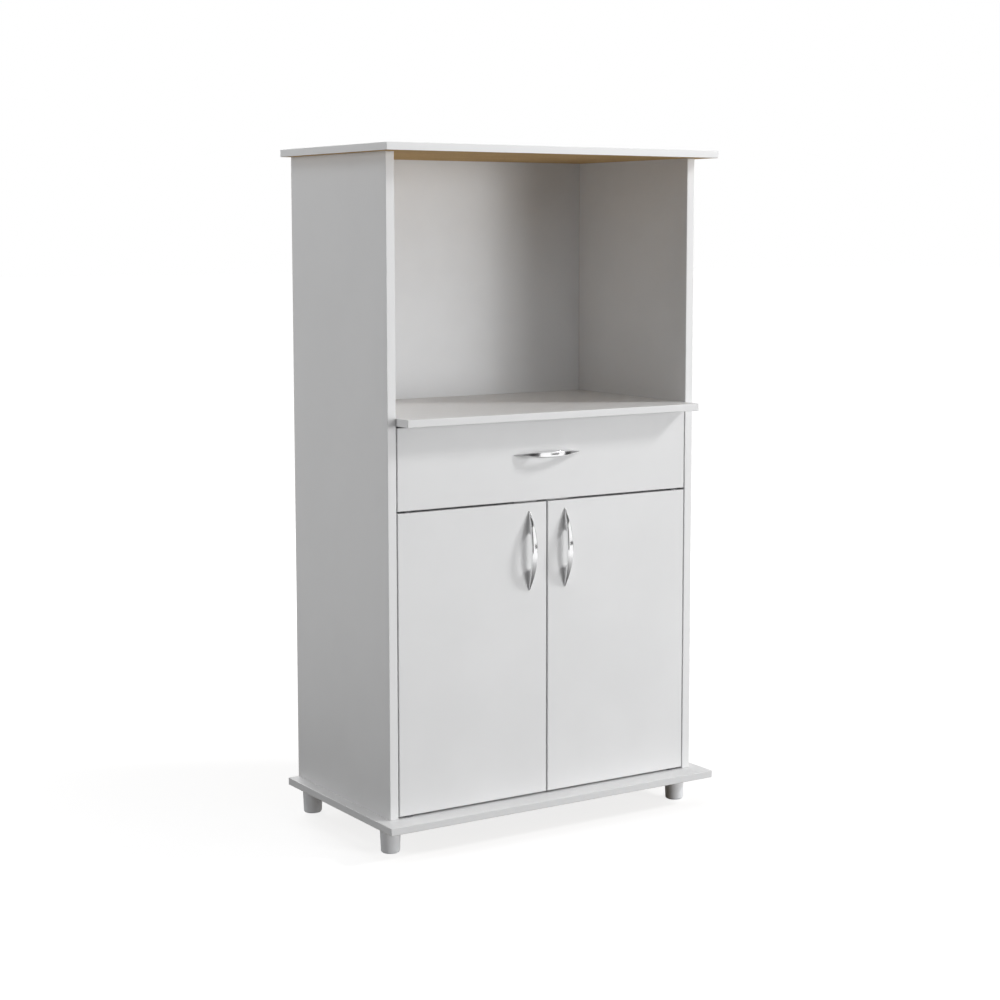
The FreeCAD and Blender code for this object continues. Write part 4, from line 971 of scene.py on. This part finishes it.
@dataclass
class BowHandle:
    """A bow handle: one rule gives its front arc, its slanted feet and its lens-shaped outline.

    Attributes:
        length: Tip to tip.
        width: At its middle.
        tip_width: At its tips.
        projection: From its mounting face to the front.
        tip_height: The same at its tips.
        thickness: Of the bow.
        foot: Each foot's length along the door.
        rounding: The radius of its section's corners.
        along: Steps from tip to tip.
        around: Steps around its section.
        tree: What makes it.
    """

    length: float = 0.130
    width: float = 0.0105
    tip_width: float = 0.0016
    projection: float = 0.019
    tip_height: float = 0.0012
    thickness: float = 0.0045
    foot: float = 0.033
    rounding: float = 0.0021
    along: int = 181
    around: int = 73
    tree: bpy.types.NodeTree = field(init=False)

    def __post_init__(self) -> None:
        """Build the tree."""
        self.tree = self.build_tree()

    def sizes(self) -> dict[str, float]:
        """The sizes by the names of the tree's inputs."""
        return {item.name.replace("_", " ").title(): getattr(self, item.name)
                for item in fields(self) if item.init}

    def build_tree(self) -> bpy.types.NodeTree:
        """Wrap a grid round the handle's section, along the handle's length.

        Returns:
            The tree.
        """
        graph, given = new_tree("bow_handle", {
            name: "Int" if isinstance(size, int) else "Float" for name, size in self.sizes().items()})
        grid = graph.first("GeometryNodeMeshGrid", None, {
            "Size X": 2.0, "Size Y": math.tau, "Vertices X": given["Along"], "Vertices Y": given["Around"]})
        share, angle, _ = graph.split(graph.first("GeometryNodeInputPosition"))
        thickness, projection = given["Thickness"], given["Projection"]
        half = given["Length"] * 0.5
        place = share * half
        reach = abs(place)
        rise = projection - given["Tip Height"]
        radius = (half * half + rise * rise) / (rise * 2.0)
        centre = radius - projection
        front = centre - (radius * radius - place * place).root()
        toe = half - given["Foot"] - thickness
        inner = radius - thickness
        inside = reach.at_most(toe)
        under = centre - (inner * inner - inside * inside).root()
        slant = ((reach - toe) / thickness).at_least(0.0).at_most(1.0)
        back = under * (1.0 - slant)
        swell = (given["Width"] - given["Tip Width"]) * 0.5
        lens = (half * half + swell * swell) / (swell * 2.0)
        spread = given["Width"] * 0.5 - (lens - (lens * lens - place * place).root())
        closed_from, level = 0.9995, 0.00001
        open_end = reach.below(half * closed_from)
        middle = (front + back) * 0.5
        deep = (back - front) * 0.5
        corner = given["Rounding"].at_most(deep).at_most(spread)
        sideways, inward = (
            part * corner + (part.above(level) - part.below(-level)) * (extent - corner)
            for part, extent in ((graph.math("COSINE", angle), spread), (graph.math("SINE", angle), deep)))
        moved = graph.first("GeometryNodeSetPosition", None, {
            "Geometry": grid,
            "Position": graph.vector(place, middle + inward * open_end, sideways * open_end)})
        closed = graph.first("GeometryNodeMergeByDistance", None, {"Geometry": moved, "Distance": 1e-6})
        return finish_tree(graph, closed, given["Material"])

    def place_on(self, node: str, body: str, upright: bool) -> None:
        """Make a handle in place of the frame's.

        Args:
            node: The handle in the frame.
            body: The body that it rides on.
            upright: Whether it stands upright.
        """
        low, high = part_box(node)
        seat = Vector(((low.x + high.x) / 2, low.y + self.projection, (low.z + high.z) / 2))
        turn = Matrix.Rotation(math.radians(90), 4, "Y") if upright else Matrix.Identity(4)
        shell = bmesh.new()
        grow_into(shell, self.tree, bpy.data.meshes.new(f"{node}_seed"), {
            **self.sizes(), "Material": HANDLE_METAL.material()})
        shell.transform(Matrix.Translation(seat) @ turn)
        bmesh.ops.recalc_face_normals(shell, faces=shell.faces)
        mount(shell, node, "bow", HANDLE_METAL, body, 32.0)


# ---- Sub-assemblies ----


def banded_round(node: str) -> tuple[tuple[Axis, float], ...]:
    """The edge bands of a front that has them on all four sides."""
    low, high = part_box(node)
    return (Axis.X, low.x), (Axis.X, high.x), (Axis.Z, low.z), (Axis.Z, high.z)


@dataclass
class Carcass:
    """The boards, back, feet and fittings that stand still.

    Attributes:
        front: The front plane of the side panels.
        back_edge: The back edge of the boards.
        board_front: The front edge of the base and top boards.
        board_half: The end of the base and top boards from the middle.
        base_underside: The underside of the base board.
        top_underside: The underside of the top board.
        back_face: The back of the back panel.
        foot_bottom: A foot's radius at the floor.
        foot_round: The rounding of its lower edge.
        foot_hollow: The radius of the hollow in it.
        foot_chamfer: The chamfer of the hollow's mouth.
        foot_way: The radius of the way for its screw.
        foot_way_length: The length of that way, from the foot's top to the hollow.
    """

    front: float = -0.140
    back_edge: float = 0.176
    board_front: float = -0.179
    board_half: float = 0.315
    base_underside: float = 0.046
    top_underside: float = 1.098
    back_face: float = 0.179
    foot_bottom: float = 0.0152
    foot_round: float = 0.0035
    foot_hollow: float = 0.0060
    foot_chamfer: float = 0.0004
    foot_way: float = 0.0021
    foot_way_length: float = 0.014

    def build(self, fasteners: Fasteners) -> None:
        """Dress and complete the carcass.

        Args:
            fasteners: What makes its screws and nails.
        """
        self.dress_boards()
        self.dress_fittings()
        for row in ("front", "rear"):
            for side in Side:
                self.turn_foot(f"foot_{row}_{side.word}")
        for node in ("carcass_screws", "foot_screws", "hardware_screws"):
            fasteners.grow(node, "carcass")
        fasteners.grow("back_panel_nails", "carcass", recess=False)

    def dress_boards(self) -> None:
        """Give each board its white facing, its bands and its bare faces."""
        core = RawFace(Axis.Y, self.back_edge, 1, Raw.CORE)
        ends = ((Axis.Y, self.board_front), (Axis.X, self.board_half), (Axis.X, -self.board_half))
        # The band lifts here are partly painted light and shade: the top board's and side panels' bands
        # lighter, the base board's and bay shelf's darker.
        for name, underside, lift in (
                ("top_board", self.top_underside, 1.05), ("base_board", self.base_underside, 0.93)):
            backing = RawFace(Axis.Z, underside, -1, Raw.BACKING)
            dress(name, Melamine(f"{name}_white", WHITE, (core, backing), ends, lift))
        for side in Side:
            dress(f"side_panel_{side.word}", Melamine(
                "side_panel_white", WHITE, (core,), ((Axis.Y, self.front),), 1.035))
        shelf_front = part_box("bay_shelf")[0].y
        dress("bay_shelf", Melamine("bay_shelf_white", WHITE, (core,), ((Axis.Y, shelf_front),), 0.97))
        low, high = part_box("inner_shelf")
        dress("inner_shelf", Melamine("inner_shelf_white", WHITE, (
            RawFace(Axis.Y, high.y, 1, Raw.CORE), RawFace(Axis.X, high.x, 1, Raw.CORE),
            RawFace(Axis.X, low.x, -1, Raw.CORE)), ((Axis.Y, low.y),)))
        low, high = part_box("drawer_rail")
        dress("drawer_rail", Melamine("rail_white", WHITE, (
            RawFace(Axis.Y, high.y, 1, Raw.CORE),), ((Axis.Y, low.y),)))
        dress("back_panel", Hardboard("back_panel_white", BACK_WHITE, RawFace(
            Axis.Y, self.back_face, 1, Raw.SCREEN)))

    def dress_fittings(self) -> None:
        """Finish the small fittings."""
        for node, finish, edge in (
                ("screw_caps", WHITE_PLASTIC, 0.0003), ("cam_bolts", ZINC, 0.0),
                ("cam_locks", CAST_ZINC, 0.0), ("carcass_dowels", BEECH, 0.0004),
                ("shelf_pins", ZINC, 0.0004), ("pivot_pins", ZINC, 0.0003),
                ("catch_housings", WHITE_PLASTIC, 0.0004), ("catch_magnets", FERRITE, 0.0003),
                ("roller_axles_cabinet", ZINC, 0.0002),
                # The pivot plates' dark zinc is painted shade for the door gaps.
                *((f"pivot_plate_{level}_{side.word}", GAP_SHADED_ZINC, 0.0002)
                  for level in ("lower", "upper") for side in Side)):
            softened(node, finish, "carcass", edge)

    def turn_foot(self, node: str) -> None:
        """Turn a foot, with its hollow and its rounded lower edge.

        Args:
            node: The foot in the frame.
        """
        low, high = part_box(node)
        edge, hollow, way, top = self.foot_round, self.foot_hollow, self.foot_way, high.z
        roof = top - self.foot_way_length
        profile = [
            (hollow + self.foot_chamfer, 0.0), *rounded(edge, (self.foot_bottom - edge, edge), 8, -90, 0),
            ((high.x - low.x) / 2, top), (way, top), (way, roof), (hollow, roof), (hollow, self.foot_chamfer)]
        place = Matrix.Translation(((low.x + high.x) / 2, (low.y + high.y) / 2, 0))
        mount(turned(profile, place), node, "turned", FOOT_PLASTIC, "carcass")


@dataclass
class Doors:
    """The two doors with what they carry.

    Attributes:
        handle: What makes their handles.
    """

    handle: BowHandle

    def build(self, fasteners: Fasteners) -> None:
        """Dress and complete the doors.

        Args:
            fasteners: What makes their screws.
        """
        for side in Side:
            name = f"door_{side.word}"
            dress(name, Melamine(f"{name}_white", WHITE, (), banded_round(name)))
            self.handle.place_on(f"door_handle_{side.word}", name, True)
            fasteners.grow(f"door_handle_screws_{side.word}", name)
            softened(f"pivot_bushes_{side.word}", WHITE_PLASTIC, name, 0.0002)
            softened(f"strike_plate_{side.word}", ZINC, name, 0.0003)


@dataclass
class Drawer:
    """The drawer with its box, handle and runners.

    Attributes:
        handle: What makes its handle.
    """

    handle: BowHandle

    def build(self, fasteners: Fasteners) -> None:
        """Dress and complete the drawer.

        Args:
            fasteners: What makes its screws.
        """
        dress("drawer_front", Melamine("drawer_front_white", WHITE, (), banded_round("drawer_front")))
        low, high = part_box("drawer_side_left")
        lower, rear = RawFace(Axis.Z, low.z, -1, Raw.CORE), RawFace(Axis.Y, high.y, 1, Raw.CORE)
        upper = ((Axis.Z, high.z),)
        for node in ("drawer_inner_front", "drawer_side_left", "drawer_side_right"):
            dress(node, Melamine("drawer_box_white", WHITE, (lower, rear), upper))
        dress("drawer_back", Melamine("drawer_back_white", WHITE, (lower,), upper))
        dress("drawer_bottom", Hardboard("drawer_bottom_white", DRAWER_BOTTOM_WHITE, RawFace(
            Axis.Z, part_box("drawer_bottom")[0].z, -1, Raw.SCREEN)))
        self.handle.place_on("drawer_handle", "drawer", False)
        for node in ("drawer_handle_screws", "drawer_box_screws", "runner_drawer_screws"):
            fasteners.grow(node, "drawer")
        softened("roller_axles_drawer", ZINC, "drawer", 0.0002)


@dataclass
class Runners:
    """The channels of the drawer's runners, and their rollers.

    Attributes:
        hub_radius: The raised hub of a roller.
        hub_rise: How far the hub stands out of the roller's sunk face.
        bore: The radius of a roller's bore.
        tread_round: The rounding of a roller's tread.
        rim_width: The width of its raised rim.
        flank: How far the sides of the rim and the hub lean.
    """

    hub_radius: float = 0.0038
    hub_rise: float = 0.0007
    bore: float = 0.00205
    tread_round: float = 0.0006
    rim_width: float = 0.0010
    flank: float = 0.0002

    def build(self) -> None:
        """Dress the channels and turn the rollers."""
        for side in Side:
            for member, body in (("cabinet", "carcass"), ("drawer", "drawer")):
                softened(f"runner_{member}_{side.word}", WHITE_STEEL, body, 0.0002)
                self.turn_roller(f"roller_{member}_{side.word}")

    def turn_roller(self, node: str) -> None:
        """Turn a roller with a raised rim and hub.

        Args:
            node: The roller in the frame, which is a body of its own.
        """
        low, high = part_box(node)
        radius, half, edge = (high.z - low.z) / 2, (high.x - low.x) / 2, self.tread_round
        rim, sunk = radius - self.rim_width, half - self.hub_rise
        upper = [(self.bore, half), (self.hub_radius, half), (self.hub_radius + self.flank, sunk),
                 (rim - self.flank, sunk), (rim, half),
                 *rounded(edge, (radius - edge, half - edge), 4, 90, 0)]
        profile = upper + [(r, -z) for r, z in reversed(upper)]
        place = Matrix.Translation((low + high) / 2) @ Matrix.Rotation(math.radians(90), 4, "Y")
        mount(turned(profile, place, 60), node, "turned", WHITE_PLASTIC, node)


# ---- Studio ----


def way_to(azimuth: float, elevation: float) -> Vector:
    """The way to a place, in degrees to the right of the cabinet's front and over the horizon."""
    turn, lift = math.radians(azimuth), math.radians(elevation)
    return Vector((math.sin(turn) * math.cos(lift), -math.cos(turn) * math.cos(lift), math.sin(lift)))


def bare_material(name: str) -> tuple[bpy.types.Material, Graph, Socket]:
    """A material with no shader.

    Args:
        name: Its name.

    Returns:
        The material, its graph, and the input for what it shows.
    """
    material = bpy.data.materials.new(name)
    material.use_nodes = True
    nodes = material.node_tree.nodes
    nodes.remove(nodes["Principled BSDF"])
    return material, Graph(material.node_tree), nodes["Material Output"].inputs["Surface"]


@dataclass(frozen=True)
class Lamp:
    """A soft lamp that faces the cabinet.

    Attributes:
        name: Its name.
        azimuth: Where it stands, in degrees to the right of the cabinet's front.
        elevation: Its height over the horizon, in degrees.
        distance: From what it faces.
        size: Its width.
        level: How light it makes a face that looks at it, where 1 shows a colour as it is written.
        mirrored: Whether polished metal shows it.
    """

    name: str
    azimuth: float
    elevation: float
    distance: float
    size: float
    level: float
    mirrored: bool = True

    def hang(self, target: Vector) -> None:
        """Hang the lamp.

        Args:
            target: What it faces.
        """
        data = bpy.data.lights.new(self.name, "AREA")
        data.shape, data.size = "DISK", self.size
        data.energy = self.level * (math.pi * self.distance) ** 2
        lamp = bpy.data.objects.new(self.name, data)
        way = way_to(self.azimuth, self.elevation)
        lamp.location = target + way * self.distance
        lamp.rotation_euler = way.to_track_quat("Z", "Y").to_euler()
        lamp.visible_glossy = self.mirrored
        bpy.context.scene.collection.objects.link(lamp)


@dataclass(frozen=True)
class Card:
    """A painted reflection: a dark sheet, as a product photographer sets up for chrome, but one that only
    polished metal sees; it glows at its tone, casts no shadow and lights nothing.

    Attributes:
        name: Its name.
        azimuth: Where its middle stands, in degrees to the right of the cabinet's front.
        elevation: The height of its middle over the horizon, in degrees.
        width: The angle that it spans sideways.
        height: The angle that it spans upright.
        distance: From what it faces.
        tone: How light it is.
    """

    name: str
    azimuth: float
    elevation: float
    width: float
    height: float
    distance: float
    tone: float

    def hang(self, target: Vector) -> None:
        """Hang the card, bent round the target.

        Args:
            target: What it faces.
        """
        columns, rows = 12, 6
        corners = [target + self.distance * way_to(self.azimuth + self.width * (column / columns - 0.5),
                                                   self.elevation + self.height * (row / rows - 0.5))
                   for row in range(rows + 1) for column in range(columns + 1)]
        firsts = [row * (columns + 1) + column for row in range(rows) for column in range(columns)]
        mesh = bpy.data.meshes.new(self.name)
        mesh.from_pydata(corners, [], [(i, i + 1, i + columns + 2, i + columns + 1) for i in firsts])
        card = linked(self.name, mesh)
        material, graph, surface = bare_material(self.name)
        graph.feed(surface, graph.first("ShaderNodeEmission", None, {
            "Color": (self.tone,) * 3, "Strength": 1.0}))
        mesh.materials.append(material)
        # Seen only in glossy reflections: a painted reflection that casts no shadow and lights nothing.
        card.visible_camera = card.visible_diffuse = card.visible_shadow = False
        card.visible_transmission = card.visible_volume_scatter = False


@dataclass
class Studio:
    """A plain white studio.

    Attributes:
        camera_place: Where the camera stands.
        camera_turn: Its turn to the right of straight ahead, in degrees.
        camera_tilt: Its tilt down, in degrees.
        lens: Its focal length, in millimetres.
        shift: How far its picture is shifted sideways and up.
        ambient: The light from all round.
        floor_reach: Half the floor's width.
        floor_glow: How light the floor shows near the cabinet without the lamps' light.
        glow_span: Where that light rises to white, from the middle.
        floor_mirrored: How light polished metal shows the floor near the cabinet: painted shade in
            reflections, dark there whatever light falls on the floor.
        mirrored_span: Where that painted shade rises to white, from the middle.
        floor_tone: How much light the floor gives back to the cabinet.
        floor_shadow: How much of the lamps' light it shows.
        target: What the lamps and cards face.
        lamps: The lamps.
        cards: Painted reflections, dark sheets that only polished metal sees.
    """

    camera_place: Colour = (-1.8016, -2.8377, 0.9753)
    camera_turn: float = 33.03
    camera_tilt: float = 6.43
    lens: float = 72.66
    shift: tuple[float, float] = (-0.0225, -0.04)
    ambient: float = 0.125
    floor_reach: float = 40.0
    floor_glow: float = 0.80
    glow_span: tuple[float, float] = (0.6, 2.2)
    floor_mirrored: float = 0.05
    mirrored_span: tuple[float, float] = (0.2, 1.9)
    floor_tone: float = 0.38
    floor_shadow: float = 0.30
    target: Colour = (0.0, 0.0, 0.55)
    lamps: tuple[Lamp, ...] = (
        Lamp("key", 60.0, 34.0, 7.0, 1.17, 0.46),
        Lamp("front_inner", 27.0, 3.5, 6.0, 1.95, 0.25, False),
        Lamp("front_outer", 36.0, 3.5, 6.0, 1.95, 0.245, False),
        Lamp("front_high", 4.0, 34.0, 3.2, 1.8, 0.10, False),
        Lamp("top", 0.0, 80.0, 3.0, 1.4, 0.09),
        Lamp("left_low", -100.0, 14.0, 2.4, 1.2, 0.18),
        Lamp("left_high", -92.0, 50.0, 3.2, 1.4, 0.115),
        Lamp("back", 174.0, 25.0, 3.2, 1.8, 0.38),
        Lamp("right", 100.0, 10.0, 3.2, 1.6, 0.06),
    )
    # Painted reflections: dark sheets that only polished metal sees, which set the dark bands in the chrome
    # handles.
    cards: tuple[Card, ...] = (
        Card("card_far_left", -53.0, 15.0, 94.0, 110.0, 2.7, 0.20),
        Card("card_left", 2.0, 15.0, 16.0, 110.0, 2.6, 0.06),
        Card("card_right", 59.0, -4.0, 13.0, 36.0, 2.6, 0.06),
        Card("card_far_right", 82.0, -4.0, 33.0, 56.0, 2.6, 0.30),
        Card("card_high", 40.0, 28.5, 70.0, 14.0, 2.5, 0.03),
        Card("card_low", 34.5, -3.8, 13.0, 4.6, 2.6, 0.07),
        Card("card_top", 25.0, 75.0, 130.0, 28.0, 2.5, 0.42),
    )

    def build(self) -> None:
        """Set up the light, the floor and the camera."""
        scene = bpy.context.scene
        scene.view_settings.view_transform = "Standard"
        for item in (*self.lamps, *self.cards):
            item.hang(Vector(self.target))
        self.light_the_air()
        self.lay_floor()
        data = bpy.data.cameras.new("camera")
        data.lens, data.sensor_width, data.clip_end = self.lens, 36.0, 100.0
        data.shift_x, data.shift_y = self.shift
        camera = bpy.data.objects.new("camera", data)
        camera.location = self.camera_place
        camera.rotation_euler = (math.radians(90 - self.camera_tilt), 0.0, -math.radians(self.camera_turn))
        scene.collection.objects.link(camera)
        scene.camera = camera

    @staticmethod
    def seen_directly(graph: Graph) -> Signal:
        """Tell what the camera sees from what only lights the cabinet.

        Args:
            graph: The graph to add it to.

        Returns:
            1 for what the camera sees, straight or in metal and glass.
        """
        path = graph.node("ShaderNodeLightPath")
        camera, glossy, through = (Signal(graph, path.outputs[name]) for name in (
            "Is Camera Ray", "Is Glossy Ray", "Is Transmission Ray"))
        return camera.at_least(glossy).at_least(through)

    def light_the_air(self) -> None:
        """A white background, and a soft light from all round."""
        world = bpy.data.worlds.new("studio")
        bpy.context.scene.world = world
        world.use_nodes = True
        graph = Graph(world.node_tree)
        seen = self.seen_directly(graph)
        background = world.node_tree.nodes["Background"]
        background.inputs["Color"].default_value = (1.0, 1.0, 1.0, 1.0)
        graph.feed(background.inputs["Strength"], seen * (1.0 - self.ambient) + self.ambient)

    def lay_floor(self) -> None:
        """A pale floor that is white but for the cabinet's shadow; polished metal sees it with painted shade,
        dark near the cabinet.
        """
        mesh, reach = bpy.data.meshes.new("floor"), self.floor_reach
        mesh.from_pydata([(-reach, -reach, 0), (reach, -reach, 0), (reach, reach, 0), (-reach, reach, 0)], [],
                         [(0, 1, 2, 3)])
        floor = linked("floor", mesh)
        material, graph, surface = bare_material("floor_white")
        x, y, _ = graph.split(graph.node("ShaderNodeTexCoord").outputs["Object"])
        away = (x * x + y * y).root()
        seen = away.spread(*self.glow_span, self.floor_glow, 1.0)
        # Painted shade in reflections: glossy rays see the floor nearly black near the cabinet, rising to
        # white farther out, and its matt part darkened too.
        mirrored = away.spread(*self.mirrored_span, self.floor_mirrored, 1.0)
        metal = Signal(graph, graph.node("ShaderNodeLightPath").outputs["Is Glossy Ray"])
        glow = graph.first("ShaderNodeEmission", None, {"Strength": seen * (1.0 - metal) + mirrored * metal})
        matt = graph.first("ShaderNodeBsdfDiffuse", None, {
            "Color": graph.mix(metal, (self.floor_shadow,) * 3, (self.floor_mirrored,) * 3)})
        shown = graph.first("ShaderNodeAddShader", None, {0: glow, 1: matt})
        plain = graph.first("ShaderNodeBsdfDiffuse", None, {"Color": (self.floor_tone,) * 3})
        graph.feed(surface, graph.first("ShaderNodeMixShader", None, {
            0: self.seen_directly(graph), 1: plain, 2: shown}))
        mesh.materials.append(material)


def main() -> None:
    """Build the cabinet's looks and the studio."""
    logging.basicConfig(level=logging.INFO, format="%(name)s: %(message)s")
    NODES.update(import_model()["nodes"])
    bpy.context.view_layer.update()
    fasteners, handle = Fasteners(), BowHandle()
    Carcass().build(fasteners)
    Doors(handle).build(fasteners)
    Drawer(handle).build(fasteners)
    Runners().build()
    Studio().build()


if __name__ == "__main__":
    main()
